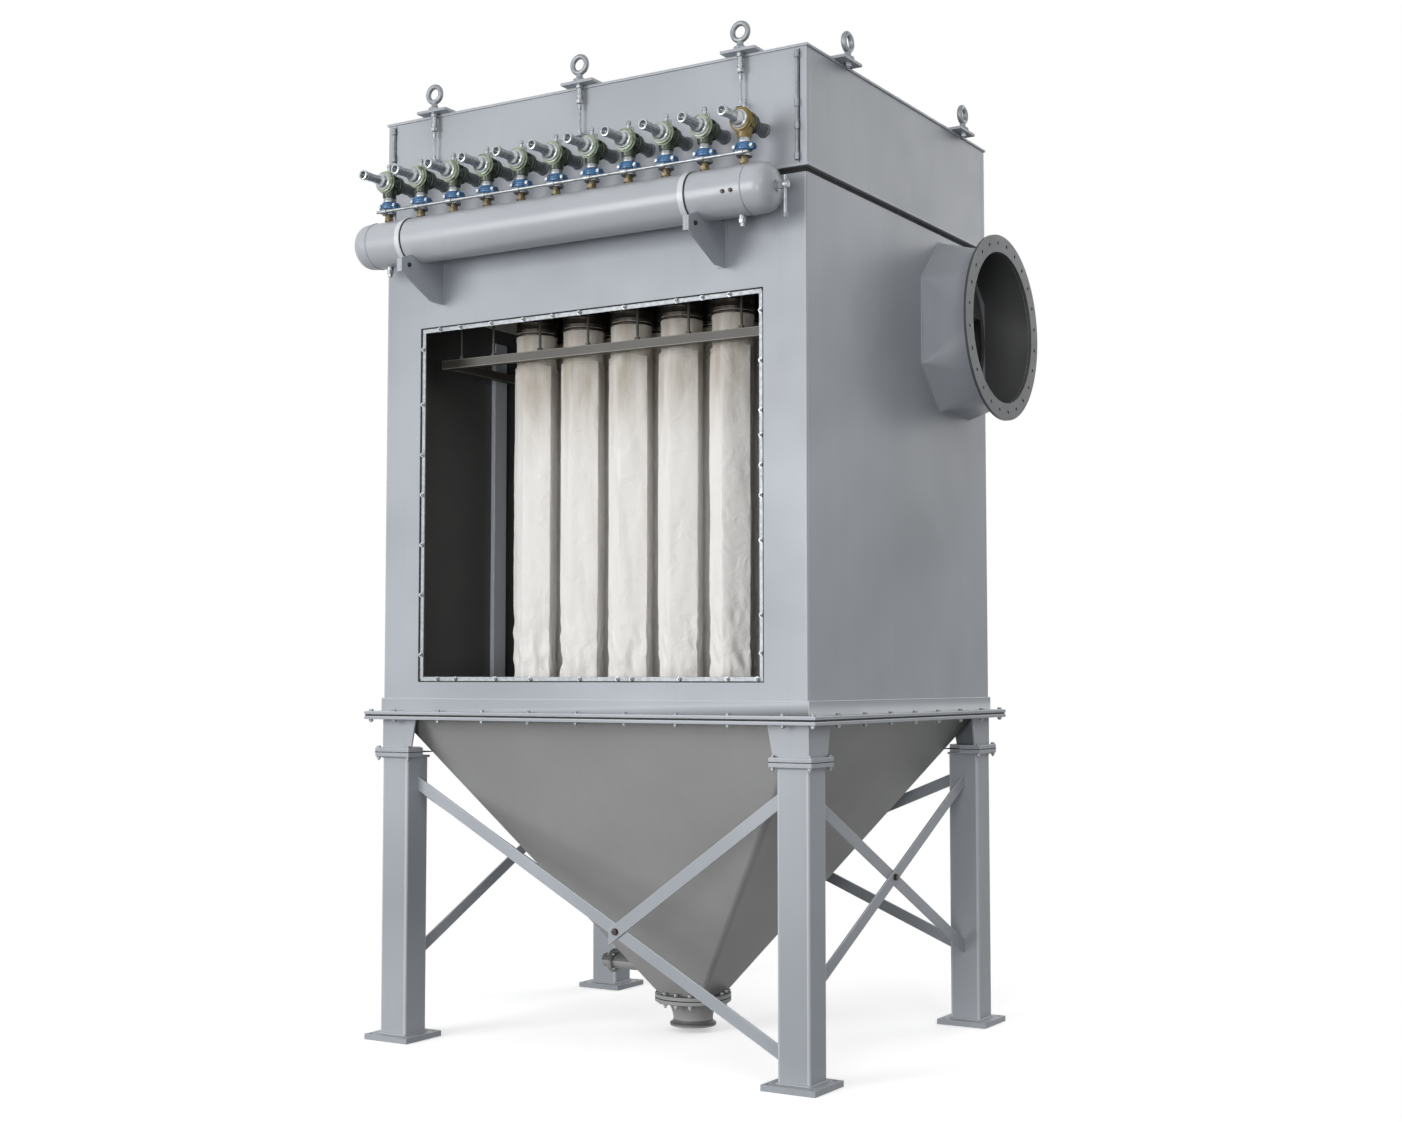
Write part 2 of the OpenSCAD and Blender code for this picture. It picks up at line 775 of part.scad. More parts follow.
module plenum_front_panel() {
    color(paint) box([-hx + post_w, -hy, plenum_z], [hx - post_w, -hy + panel_t, roof_z]);
}

module plenum_walls() {
    color(paint) {
        box([-hx + post_w, iy, plenum_z], [hx - post_w, hy, roof_z]);
        for (s = [0, 1]) mirror([s, 0, 0])
            box([ix, -hy + post_w, plenum_z], [hx, hy - post_w, roof_z]);
    }
}

// A rod with knuckles that stand against the panel, from a height up
module knuckle_rod(x, z, l, spots) {
    translate([x, -hy - knuckle_d / 2, z]) union() {
        cylinder(d = rod_d, h = l);
        for (s = spots) translate([0, 0, s]) cylinder(d = knuckle_d, h = knuckle_l);
    }
}

module panel_rods() {
    hinge_l = plenum_h - 2 * hinge_end_room;
    top = hinge_l - knuckle_l;
    color(steel) {
        knuckle_rod(hx - post_w, plenum_z + hinge_end_room, hinge_l,
            [0, top * second_knuckle, top * third_knuckle, top]);
        knuckle_rod(-hx + post_w, roof_z - hinge_end_room - latch_l, latch_l, [0, latch_l - knuckle_l]);
    }
}

module roof_panel() {
    color(paint) box([-hx - roof_overhang, -hy - roof_overhang, roof_z],
        [hx + roof_overhang, hy + roof_overhang, roof_top_z]);
}

// Children drawn with the eye's axis upright at the origin and the wall towards +Y
module at_eyes(spots) {
    for (s = spots) translate([s[0], s[1], 0]) rotate([0, 0, s[2]]) children();
}

module eye_plates() {
    color(paint) at_eyes(eye_spots) difference() {
        box([-eye_plate_l / 2, -eye_off, roof_top_z],
            [eye_plate_l / 2, eye_plate_w - eye_off, eye_z]);
        translate([0, 0, roof_top_z - over])
            cylinder(d = shank_d + 2 * shank_clear, h = eye_plate_t + 2 * over);
    }
}

// A lifting eye with its shank down to a height
module lifting_eye(end_z) {
    ring_z = eye_h - eye_d / 2;
    translate([0, eye_t / 2, eye_z]) rotate([90, 0, 0]) linear_extrude(eye_t) difference() {
        union() {
            translate([0, ring_z]) circle(d = eye_d);
            polygon([[-eye_foot_w / 2, 0], [eye_foot_w / 2, 0], [eye_d / 2, ring_z],
                [-eye_d / 2, ring_z]]);
        }
        translate([0, ring_z]) circle(d = eye_bore_d);
    }
    translate([0, 0, end_z]) cylinder(d = shank_d, h = eye_z - end_z);
}

module lifting_eyes() {
    color(steel) {
        at_eyes(front_eyes) union() lifting_eye(shank_end_z);
        at_eyes(other_eyes) union() lifting_eye(roof_top_z - short_shank_l);
    }
}

module eye_stays() {
    color(steel) at_eyes(front_eyes)
        translate([0, 0, shank_end_z - stay_l]) cylinder(d = stay_d, h = stay_l);
}

module stay_lugs() {
    color(paint) at_eyes(front_eyes)
        box([-lug_w / 2, -lug_w / 2, shank_end_z - stay_l - lug_t],
            [lug_w / 2, eye_off, shank_end_z - stay_l]);
}

module header_tank() {
    color(paint) difference() {
        rod_x([header_x - header_l / 2, header_y, header_z], header_d, header_l);
        rod_x([header_x - header_l / 2 - over, header_y, header_z], header_d - 2 * header_wall,
            header_l + 2 * over);
    }
}

// A dished end: the cap of a spherical shell, closed side towards +X
module dome() {
    intersection() {
        translate([dome_h - dome_r, 0, 0]) difference() {
            sphere(r = dome_r);
            sphere(r = dome_r - header_wall);
        }
        box([0, -header_d, -header_d], [header_d, header_d, header_d]);
    }
}

module header_ends() {
    color(paint) for (s = [0, 1])
        translate([header_x, header_y, header_z]) mirror([s, 0, 0])
            translate([header_l / 2, 0, 0]) dome();
}

// Plates that carry the header in an open saddle and rise to a horn in front of it
module header_brackets() {
    front = -header_r - bracket_reach;
    low = -header_r - bracket_drop;
    horn = -bracket_horn;
    color(paint) for (s = [-1, 1])
        translate([header_x + s * bracket_x - bracket_t / 2, header_y, header_z])
            rotate([90, 0, 90]) linear_extrude(bracket_t) difference() {
                polygon([[header_off, low], [front + bracket_slope, low], [front, low + bracket_slope],
                    [front, horn], [header_off, horn]]);
                circle(d = header_d);
                translate([front + bracket_reach / 2, (low + bracket_slope + horn) / 2])
                    circle(d = horn_hole_d);
            }
}

module header_fittings() {
    color("#8c7443") {
        for (s = [-1, 1]) difference() {
            translate([header_x + s * drain_x, header_y, header_z - header_r - drain_l])
                cylinder(d = drain_d, h = header_r);
            rod_x([header_x - header_l / 2, header_y, header_z], header_d, header_l);
        }
        difference() {
            union() {
                rod_x([header_end_x, header_y, header_z], tap_d, dome_h + tap_l);
                box([header_end_x + dome_h + tap_l - lever_t, header_y - lever_t / 2, header_z - lever_l],
                    [header_end_x + dome_h + tap_l, header_y + lever_t / 2, header_z]);
            }
            translate([header_end_x + dome_h - dome_r, header_y, header_z]) sphere(r = dome_r);
        }
    }
}

module at_valves() {
    for (x = valve_x) translate([x, header_y, 0]) children();
}

module valve_nipples() {
    color("#8c7443") difference() {
        at_valves() translate([0, 0, header_z]) cylinder(d = nipple_d, h = hex_z - header_z);
        rod_x([header_x - header_l / 2, header_y, header_z], header_d, header_l);
    }
}

// The hexagon ring under each clamp and the neck above it
module valve_unions() {
    color(steel) {
        at_valves() translate([0, 0, hex_z]) cylinder(d = hex_d, h = hex_h, $fn = 6);
        difference() {
            at_valves() translate([0, 0, neck_top_z]) cylinder(d = neck_d, h = valve_z - neck_top_z);
            for (x = valve_x) rod_y([x, valve_front_y - over, valve_z], valve_d, valve_l + 2 * over);
        }
    }
}

module valve_clamps() {
    color("#3f77ae") at_valves() translate([0, 0, clamp_z]) cylinder(d = clamp_d, h = clamp_h);
}

module valve_bodies() {
    color("#5f7a4f") for (x = valve_x) union() {
        rod_y([x, valve_front_y, valve_z], valve_d, valve_l);
        rod_y([x, valve_front_y, valve_z], rim_d, rim_t);
    }
}

module valve_actuators() {
    tip_y = valve_front_y - actuator_l;
    color(steel) for (x = valve_x) difference() {
        union() {
            rod_y([x, valve_front_y - shoulder_l, valve_z], actuator_d, shoulder_l);
            rod_y([x, tip_y, valve_z], barrel_d, actuator_l);
        }
        rod_y([x, tip_y - over, valve_z], tip_bore_d, tip_bore_l + over);
    }
}

module blow_pipes() {
    color(paint) for (x = valve_x)
        rod_y([x, valve_back_y, valve_z], blow_d, -hy - valve_back_y);
}

// The pilot rail lies against the front of the hexagon rings
module pilot_rail() {
    flat = hex_d / 2 * cos(30);
    color(steel) rod_x([valve_x[0] - hex_d / 2, header_y - flat - rail_d / 2, hex_z + hex_h / 2], rail_d,
        valve_x[valve_count - 1] - valve_x[0] + hex_d);
}

// The outline of the duct piece on the wall, an oblong with cut corners, in its own plane
module duct_base(inset) {
    w = duct_base_w / 2 - inset;
    h = duct_base_h / 2 - inset;
    c = duct_chamfer - inset * (2 - sqrt(2));
    polygon([[w, h - c], [w - c, h], [c - w, h], [-w, h - c], [-w, c - h], [c - w, -h], [w - c, -h],
        [w, c - h]]);
}

// The space between the wall outline and a circle at the flange
module duct_loft(inset, back, front) {
    slab = 1;
    hull() {
        translate([-back, 0, 0]) rotate([90, 0, 90]) linear_extrude(slab) duct_base(inset);
        translate([duct_reach - duct_flange_t + front - slab, 0, 0]) rotate([0, 90, 0])
            cylinder(d = duct_bore_d + 2 * (duct_wall - inset), h = slab, $fn = loft_fn);
    }
}

module duct_transition() {
    color(paint) translate([hx, duct_y, duct_z]) difference() {
        duct_loft(0, 0, 0);
        duct_loft(duct_wall, over, over);
    }
}

module duct_flange() {
    color(paint) translate([duct_flange_x, duct_y, duct_z]) rotate([0, 90, 0]) difference() {
        cylinder(d = duct_flange_d, h = duct_flange_t, $fn = flange_fn);
        translate([0, 0, -over]) cylinder(d = duct_bore_d, h = duct_flange_t + 2 * over, $fn = flange_fn);
        for (i = [0 : duct_bolts - 1]) rotate([0, 0, (i + 0.5) * 360 / duct_bolts])
            translate([duct_pcd / 2, 0, -over]) cylinder(d = duct_bolt_d, h = duct_flange_t + 2 * over);
    }
}

base_plates();
legs();
leg_cap_plates();
leg_heads();
front_brace_long();
front_brace_short();
braces_falling();
braces_rising();
hopper_flange_frame();
hopper_gasket();
base_angle_frame();
hopper_front_plate();
hopper_back_plate();
hopper_left_plate();
hopper_right_plate();
outlet_flange();
outlet_spigot();
side_stub();
front_wall();
back_wall();
left_wall();
right_wall();
opening_frame();
housing_top_frame();
wall_stiffeners();
tube_sheet();
sheet_ribs();
filter_bags();
bag_collars();
bag_guide_frame();
guide_hangers();
seam_gasket();
plenum_lip();
plenum_corner_posts();
plenum_front_panel();
plenum_walls();
panel_rods();
roof_panel();
eye_plates();
lifting_eyes();
eye_stays();
stay_lugs();
header_tank();
header_ends();
header_brackets();
header_fittings();
valve_nipples();
valve_unions();
valve_clamps();
valve_bodies();
valve_actuators();
blow_pipes();
pilot_rail();
duct_transition();
duct_flange();
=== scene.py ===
"""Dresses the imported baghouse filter: paint, fasteners, pulse valves, filter bags and fittings.

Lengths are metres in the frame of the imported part: +Z up, the front towards -Y, the floor at zero.
"""

import logging
import math
from collections.abc import Callable, Sequence
from dataclasses import dataclass
from enum import Enum
from functools import cached_property

import bmesh
import bpy
from mathutils import Matrix, Vector, noise


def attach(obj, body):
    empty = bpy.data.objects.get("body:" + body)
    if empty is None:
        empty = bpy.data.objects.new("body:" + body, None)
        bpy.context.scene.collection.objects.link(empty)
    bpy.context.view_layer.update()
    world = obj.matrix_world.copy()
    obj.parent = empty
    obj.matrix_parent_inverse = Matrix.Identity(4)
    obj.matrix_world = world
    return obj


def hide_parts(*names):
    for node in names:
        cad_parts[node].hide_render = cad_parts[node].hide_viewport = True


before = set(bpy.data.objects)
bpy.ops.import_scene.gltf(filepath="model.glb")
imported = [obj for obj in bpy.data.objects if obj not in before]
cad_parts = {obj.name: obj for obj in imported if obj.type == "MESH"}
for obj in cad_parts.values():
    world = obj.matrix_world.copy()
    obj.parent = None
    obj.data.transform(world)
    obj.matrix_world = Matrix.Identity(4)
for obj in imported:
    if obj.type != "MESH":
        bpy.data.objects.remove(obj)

LOG = logging.getLogger("baghouse")
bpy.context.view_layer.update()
BODY = "root"
# Rounded edges are marked for a pale colour: a painted highlight on sprayed paint, wear on cast paint
EDGE_HIGHLIGHT_AND_WEAR = "edge_highlight_and_wear"
TURN = "turn"
SPIN_SEED = 7
SMOOTH_ANGLE = math.radians(40)
FULL_TURN = 2 * math.pi
QUARTER = math.pi / 2
HERE = Matrix()
WHITE = (1.0, 1.0, 1.0, 1.0)
SIDES = (-1, 1)
CORNERS = [(sx, sy) for sx in SIDES for sy in SIDES]
CORNERS_ROUND = ((1, 1), (-1, 1), (-1, -1), (1, -1))
# How far the middle of a weld stands off the sheet
WELD_OFF = 0.001
# The gas duct's axis across and up, and the line of the air header
DUCT_AXIS = (0.445, 2.65)
HEADER_Y = -0.88

Flat = tuple[float, float]
Point = tuple[float, float, float]
Row = tuple[float, ...]
Path = Sequence[Sequence[float]]
Inputs = dict[str | int, object]
EdgeTest = Callable[[bmesh.types.BMEdge], bool]
Mesh = bpy.types.Mesh
Object = bpy.types.Object
Socket = bpy.types.NodeSocket


class Slot(Enum):
    """Material slots."""

    HOUSING = "housing_paint"
    HOPPER = "hopper_paint"
    INNER = "inner_steel"
    GASKET = "gasket_rubber"
    FELT = "filter_felt"
    ZINC = "zinc_steel"
    BRASS = "brass_fittings"
    CLAMP = "clamp_blue"
    GREEN = "valve_green"
    ALLOY = "valve_alloy"


class Inner(Enum):
    """Where a painted sheet turns its dark inner side: painted shade, mottled with soot."""

    NONE = "nowhere"
    BOX = "inside the housing walls and in the duct's throat"
    UPWARD = "faces that look up into the hopper"
    AXIS = "faces that look at the duct's axis"


def linear(colour: str) -> tuple[float, float, float, float]:
    """Turns an sRGB hex colour into a linear one.

    Args:
        colour: The colour as "#rrggbb".

    Returns:
        Linear red, green and blue, and an alpha of one.
    """
    parts = [int(colour[i:i + 2], 16) / 255 for i in (1, 3, 5)]
    red, green, blue = (p / 12.92 if p <= 0.04045 else ((p + 0.055) / 1.055) ** 2.4 for p in parts)
    return red, green, blue, 1.0


def per_mm(size: float) -> float:
    """Gives the texture scale at which a pattern's features are this many millimetres across."""
    return 1000.0 / size


class Net:
    """The nodes of a tree, added one by one."""

    def __init__(self, tree: bpy.types.NodeTree, family: str = "ShaderNode") -> None:
        """Empties the tree.

        Args:
            tree: The tree that gets the nodes.
            family: What the type names of its nodes start with.
        """
        self.tree = tree
        self.family = family
        tree.nodes.clear()

    @classmethod
    def of(cls, owner: bpy.types.Material | bpy.types.World) -> "Net":
        """Gives the empty net of a material or a world."""
        owner.use_nodes = True
        return cls(owner.node_tree)

    @cached_property
    def coords(self) -> Socket:
        """Gives the object coordinates."""
        return self.add("TexCoord", out="Object")

    def add(self, kind: str, links: Inputs | None = None, out: str = "",
            **settings: object) -> Socket | None:
        """Adds a node, sets its properties and fills its inputs.

        Args:
            kind: The node's type name, without the family.
            links: Inputs by name or number, each an output socket to link or a plain value.
            out: The name of the wanted output; without it the first one that is in use.
            **settings: The node's properties.

        Returns:
            The wanted output, or None from a node that has no outputs.
        """
        node = self.tree.nodes.new(self.family + kind)
        for name, value in settings.items():
            setattr(node, name, value)
        for key, value in (links or {}).items():
            socket = node.inputs[key] if isinstance(key, int) else next(
                s for s in node.inputs if s.enabled and s.name == key)
            if isinstance(value, Socket):
                self.tree.links.new(value, socket)
            else:
                socket.default_value = value
        return next((s for s in node.outputs if s.enabled and out in ("", s.name)), None)


@dataclass(frozen=True)
class Finish:
    """A named surface with a base colour; its kinds add what the material shows."""

    name: str
    colour: str
    roughness: float
    slot: Slot

    def material(self) -> bpy.types.Material:
        """Makes the material the first time.

        Returns:
            The material.
        """
        if self.name in bpy.data.materials:
            return bpy.data.materials[self.name]
        made = bpy.data.materials.new(self.name)
        net = Net.of(made)
        shader = net.add("BsdfPrincipled", {"Roughness": self.roughness, **self.surface(net)})
        net.add("OutputMaterial", {"Surface": shader})
        return made

    def surface(self, net: Net) -> Inputs:
        """Adds the nodes of colour, gloss and relief.

        Args:
            net: The material's nodes.

        Returns:
            The shader's inputs by name.
        """
        raise NotImplementedError

    def tinted(self, net: Net, mask: Socket, span: Flat, share: float, under: object,
               over: str) -> Socket:
        """Mixes a colour in where a mask is high.

        Args:
            net: The material's nodes.
            mask: The mask.
            span: Where it starts and where it is full.
            share: How much of the colour shows there.
            under: The colour or socket underneath.
            over: The colour.

        Returns:
            The mixed colour.
        """
        factor = net.add("MapRange", {
            "Value": mask, "From Min": span[0], "From Max": span[1], "To Max": share})
        return net.add("Mix", {"Factor": factor, "A": under, "B": linear(over)}, data_type="RGBA")

    def highlighted_and_worn(self, net: Net, colour: Socket, edge: str, share: float) -> Socket:
        """Lays a paler colour on the marked edges: a painted highlight on sprayed paint, wear on cast
        paint.

        Args:
            net: The material's nodes.
            colour: The colour so far.
            edge: The colour of the marked edges.
            share: How much of it shows.

        Returns:
            The mixed colour.
        """
        mark = net.add("Attribute", out="Fac", attribute_name=EDGE_HIGHLIGHT_AND_WEAR)
        mark = net.add("Math", {0: mark, 1: share}, operation="MULTIPLY")
        return net.add("Mix", {"Factor": mark, "A": colour, "B": linear(edge)}, data_type="RGBA")


@dataclass(frozen=True)
class SprayedPaint(Finish):
    """Satin enamel sprayed on sheet steel: orange peel, soft drift, paler edges as a painted highlight,
    dust on top.
    """

    shade: str = "#969ba2"
    # The pale colour of the rounded edges, a painted highlight
    edge: str = "#d3d7dc"
    edge_highlight_share: float = 0.55
    waviness: float = 0.25
    peel: float = 0.08
    dust: str = "#a9a59b"
    dust_share: float = 0.35
    inner: Inner = Inner.NONE
    # The dark inner side is painted shade, mottled with the soot colour
    inner_shade_colour: str = "#515254"
    soot: str = "#5c5c5a"
    inner_half: Flat = (0.8975, 0.7475)
    throat: float = 0.295

    def surface(self, net: Net) -> Inputs:
        """Adds the paint's tones, marks, dust, pale edges as a painted highlight, the inner side's
        painted shade, gloss and relief.

        Args:
            net: The material's nodes.

        Returns:
            The shader's inputs by name.
        """
        drift = net.add("TexNoise", {"Vector": net.coords, "Scale": per_mm(700), "Detail": 2.0})
        colour = self.tinted(net, drift, (0.35, 0.68), 1.0, linear(self.colour), self.shade)
        # Rain and wiping leave upright marks about 40 mm wide and 600 mm long
        drawn = net.add("Mapping", {"Vector": net.coords, "Scale": (per_mm(40), per_mm(40), per_mm(600))})
        marks = net.add("TexNoise", {"Vector": drawn, "Scale": 1.0, "Detail": 4.0})
        colour = self.tinted(net, marks, (0.5, 0.8), 0.22, colour, self.shade)
        colour = self.dusted(net, colour)
        # Pale rounded edges: a painted highlight
        colour = self.highlighted_and_worn(net, colour, self.edge, self.edge_highlight_share)
        # The dark inner side: painted shade, mottled with soot
        if self.inner is not Inner.NONE:
            soot = net.add("TexNoise", {"Vector": net.coords, "Scale": per_mm(160), "Detail": 5.0})
            dark = net.add("Mix", {
                "Factor": soot, "A": linear(self.inner_shade_colour), "B": linear(self.soot)}, data_type="RGBA")
            colour = net.add("Mix", {
                "Factor": self.inside(net), "A": colour, "B": dark}, data_type="RGBA")
        gloss = net.add("TexNoise", {"Vector": net.coords, "Scale": per_mm(120), "Detail": 3.0})
        gloss = net.add("MapRange", {
            "Value": gloss, "To Min": self.roughness - 0.06, "To Max": self.roughness + 0.08})
        # Orange peel is about 2 mm across; 8 mm is the finest that shows in the render
        peel = net.add("TexNoise", {"Vector": net.coords, "Scale": per_mm(8), "Detail": 2.0})
        peel = net.add("Bump", {"Height": peel, "Strength": self.peel, "Distance": 0.0006})
        # Thin sheet is never quite flat: waves of about 450 mm
        waves = net.add("TexNoise", {"Vector": net.coords, "Scale": per_mm(450), "Detail": 1.0})
        waves = net.add("Bump", {
            "Height": waves, "Strength": self.waviness, "Distance": 0.004, "Normal": peel})
        return {"Base Color": colour, "Roughness": gloss, "Normal": waves}

    def dusted(self, net: Net, colour: Socket) -> Socket:
        """Lays dust in patches on faces that look up.

        Args:
            net: The material's nodes.
            colour: The paint's colour.

        Returns:
            The mixed colour.
        """
        normal = net.add("NewGeometry", out="Normal")
        up = net.add("SeparateXYZ", {"Vector": normal}, "Z")
        up = net.add("MapRange", {
            "Value": up, "From Min": 0.6, "From Max": 0.95, "To Max": self.dust_share})
        patches = net.add("TexNoise", {"Vector": net.coords, "Scale": per_mm(90), "Detail": 6.0})
        dusty = net.add("Math", {0: up, 1: patches}, operation="MULTIPLY")
        return net.add("Mix", {"Factor": dusty, "A": colour, "B": linear(self.dust)}, data_type="RGBA")

    def inside(self, net: Net) -> Socket:
        """Builds the mask of the inner side, which gets painted shade.

        Args:
            net: The material's nodes.

        Returns:
            A socket that is one on the inner side.
        """
        normal = net.add("NewGeometry", out="Normal")
        if self.inner is Inner.UPWARD:
            up = net.add("SeparateXYZ", {"Vector": normal}, "Z")
            return net.add("Math", {0: up, 1: 0.1}, operation="GREATER_THAN")
        radial = net.add("VectorMath", {0: net.coords, 1: (0.0, *DUCT_AXIS)}, operation="SUBTRACT")
        radial = net.add("VectorMath", {0: radial, 1: (0.0, 1.0, 1.0)}, operation="MULTIPLY")
        if self.inner is Inner.AXIS:
            facing = net.add("VectorMath", {0: radial, 1: normal}, "Value", operation="DOT_PRODUCT")
            return net.add("Math", {0: facing, 1: -0.02}, operation="LESS_THAN")
        place = net.add("SeparateXYZ", {"Vector": net.coords}).node.outputs
        near = []
        for i, half in enumerate(self.inner_half):
            size = net.add("Math", {0: place[i]}, operation="ABSOLUTE")
            near.append(net.add("Math", {0: size, 1: half}, operation="LESS_THAN"))
        boxed = net.add("Math", {0: near[0], 1: near[1]}, operation="MULTIPLY")
        # The wall inside the duct's throat gets the painted shade too
        reach = net.add("VectorMath", {0: radial}, "Value", operation="LENGTH")
        throat = net.add("Math", {0: reach, 1: self.throat}, operation="LESS_THAN")
        right = net.add("Math", {0: place["X"], 1: 0.0}, operation="GREATER_THAN")
        ducted = net.add("Math", {0: throat, 1: right}, operation="MULTIPLY")
        return net.add("Math", {0: boxed, 1: ducted}, operation="MAXIMUM")


@dataclass(frozen=True)
class BareMetal(Finish):
    """Plated, turned or cast metal: small patches of tarnish and a grain that breaks the gloss."""

    tarnish: str = "#6f7274"
    tarnish_share: float = 0.5
    metallic: float = 0.9
    patch_mm: float = 14.0
    grain_mm: float = 3.0

    def surface(self, net: Net) -> Inputs:
        """Adds the metal's tarnish, gloss and grain.

        Args:
            net: The material's nodes.

        Returns:
            The shader's inputs by name.
        """
        patches = net.add("TexNoise", {
            "Vector": net.coords, "Scale": per_mm(self.patch_mm), "Detail": 4.0})
        colour = self.tinted(net, patches, (0.42, 0.7), self.tarnish_share, linear(self.colour),
                             self.tarnish)
        gloss = net.add("MapRange", {
            "Value": patches, "To Min": self.roughness - 0.1, "To Max": self.roughness + 0.12})
        grain = net.add("TexNoise", {"Vector": net.coords, "Scale": per_mm(self.grain_mm), "Detail": 2.0})
        relief = net.add("Bump", {"Height": grain, "Strength": 0.12, "Distance": 0.0004})
        return {"Base Color": colour, "Roughness": gloss, "Normal": relief, "Metallic": self.metallic}


@dataclass(frozen=True)
class CastPaint(Finish):
    """Paint on a casting: pebbled skin, darker blotches, rubbed through to pale metal on edges."""

    dark_blotch: str = "#2c3628"
    rubbed: str = "#b9bda8"
    rubbed_share: float = 0.6
    pebble_mm: float = 5.0

    def surface(self, net: Net) -> Inputs:
        """Adds the casting's colours and pebbled skin.

        Args:
            net: The material's nodes.

        Returns:
            The shader's inputs by name.
        """
        blotches = net.add("TexNoise", {"Vector": net.coords, "Scale": per_mm(26), "Detail": 4.0})
        colour = self.tinted(net, blotches, (0.45, 0.7), 1.0, linear(self.colour), self.dark_blotch)
        colour = self.highlighted_and_worn(net, colour, self.rubbed, self.rubbed_share)
        skin = net.add("TexVoronoi", {"Vector": net.coords, "Scale": per_mm(self.pebble_mm)})
        relief = net.add("Bump", {"Height": skin, "Strength": 0.2, "Distance": 0.0008})
        return {"Base Color": colour, "Normal": relief}


@dataclass(frozen=True)
class MouldedRubber(Finish):
    """Black sheet rubber: matt, greyed by dust in patches."""

    bloom: str = "#4a4a48"

    def surface(self, net: Net) -> Inputs:
        """Adds the rubber's bloom and fine skin.

        Args:
            net: The material's nodes.

        Returns:
            The shader's inputs by name.
        """
        patches = net.add("TexNoise", {"Vector": net.coords, "Scale": per_mm(60), "Detail": 5.0})
        colour = self.tinted(net, patches, (0.45, 0.8), 0.6, linear(self.colour), self.bloom)
        skin = net.add("Bump", {"Height": patches, "Strength": 0.15, "Distance": 0.0006})
        return {"Base Color": colour, "Normal": skin}


@dataclass(frozen=True)
class NeedleFelt(Finish):
    """Needle-punched filter felt: fuzzy, off-white, browned by dust at the top and smudged."""

    stain: str = "#aea495"
    smudge: str = "#cbc6bd"
    stain_from: float = 2.12
    stain_to: float = 2.5
    sheen: float = 0.25
    sheen_roughness: float = 0.6

    def surface(self, net: Net) -> Inputs:
        """Adds the felt's stains, fibres and creases.

        Args:
            net: The material's nodes.

        Returns:
            The shader's inputs by name.
        """
        height = net.add("SeparateXYZ", {"Vector": net.coords}, "Z")
        # Dust runs down in streaks about 45 mm wide and 260 mm long
        drawn = net.add("Mapping", {"Vector": net.coords, "Scale": (per_mm(45), per_mm(45), per_mm(260))})
        runs = net.add("TexNoise", {"Vector": drawn, "Scale": 1.0, "Detail": 5.0})
        colour = self.tinted(net, runs, (0.5, 0.8), 0.4, linear(self.colour), self.smudge)
        rise = net.add("MapRange", {
            "Value": height, "From Min": self.stain_from, "From Max": self.stain_to},
            interpolation_type="SMOOTHSTEP")
        patch = net.add("MapRange", {
            "Value": runs, "From Min": 0.25, "From Max": 0.6, "To Min": 0.3, "To Max": 0.8})
        browned = net.add("Math", {0: rise, 1: patch}, operation="MULTIPLY")
        colour = net.add("Mix", {
            "Factor": browned, "A": colour, "B": linear(self.stain)}, data_type="RGBA")
        # Felt fibres are under 1 mm; drawn at 5 mm, the finest that shows in the render
        fuzz = net.add("TexNoise", {"Vector": net.coords, "Scale": per_mm(5), "Detail": 4.0})
        relief = net.add("Bump", {"Height": fuzz, "Strength": 0.35, "Distance": 0.0012})
        # Creases of about 60 mm from folding and handling
        creases = net.add("TexNoise", {
            "Vector": net.coords, "Scale": per_mm(60), "Detail": 3.0, "Distortion": 0.8})
        relief = net.add("Bump", {
            "Height": creases, "Strength": 0.75, "Distance": 0.008, "Normal": relief})
        return {"Base Color": colour, "Normal": relief, "Sheen Weight": self.sheen,
                "Sheen Roughness": self.sheen_roughness}


# Satin blue-grey enamel, sprayed: the housing's colour, soft sheen, pale edges as a painted highlight,
# painted shade inside and in the duct's throat
HOUSING_PAINT = SprayedPaint("housing_enamel", "#a9aeb6", 0.42, Slot.HOUSING, inner=Inner.BOX)
# The same enamel on the plain bars, plates and tubes
FRAME_PAINT = SprayedPaint("frame_enamel", "#a6abb2", 0.42, Slot.HOUSING)
# The same enamel on the hopper, duller, its darker and greyer tone partly its own and partly painted
# shade of its downward faces; dark inside, painted shade mottled with dust
HOPPER_PAINT = SprayedPaint("hopper_enamel_painted_shade", "#a0a1a0", 0.5, Slot.HOPPER, shade="#929391",
                            inner=Inner.UPWARD)
# The same enamel on the duct, with painted shade inside
DUCT_PAINT = SprayedPaint("duct_enamel", "#adb2b9", 0.42, Slot.HOUSING, inner=Inner.AXIS,
                          inner_shade_colour="#5b5d60")
# Primer on the steel inside, dull and dusty, painted near white as painted light on the tube sheet and
# ribs in the shade above the bags
INNER_PAINT = SprayedPaint("inner_primer_painted_light", "#d2d3ce", 0.62, Slot.INNER, shade="#b9bab5",
                           edge="#d9dad6", dust_share=0.5)
# The same enamel, thick and darker, on the duct's flange
FLANGE_PAINT = SprayedPaint("duct_flange_enamel", "#54575b", 0.5, Slot.HOUSING, shade="#4a4d51",
                            edge="#c8ccd0", inner=Inner.AXIS, inner_shade_colour="#4a4b4d")
# The same enamel on the header, sprayed wet and glossier, and paler as painted light
HEADER_PAINT = SprayedPaint("header_enamel_painted_light", "#b0b4ba", 0.3, Slot.HOUSING, shade="#a6aab0",
                            waviness=0.02, peel=0.015)
# The same enamel on the header's straps, glossier, and paler as a painted highlight
STRAP_PAINT = SprayedPaint("strap_enamel_painted_highlight", "#d3d7db", 0.3, Slot.HOUSING, shade="#c8ccd1", waviness=0.03)
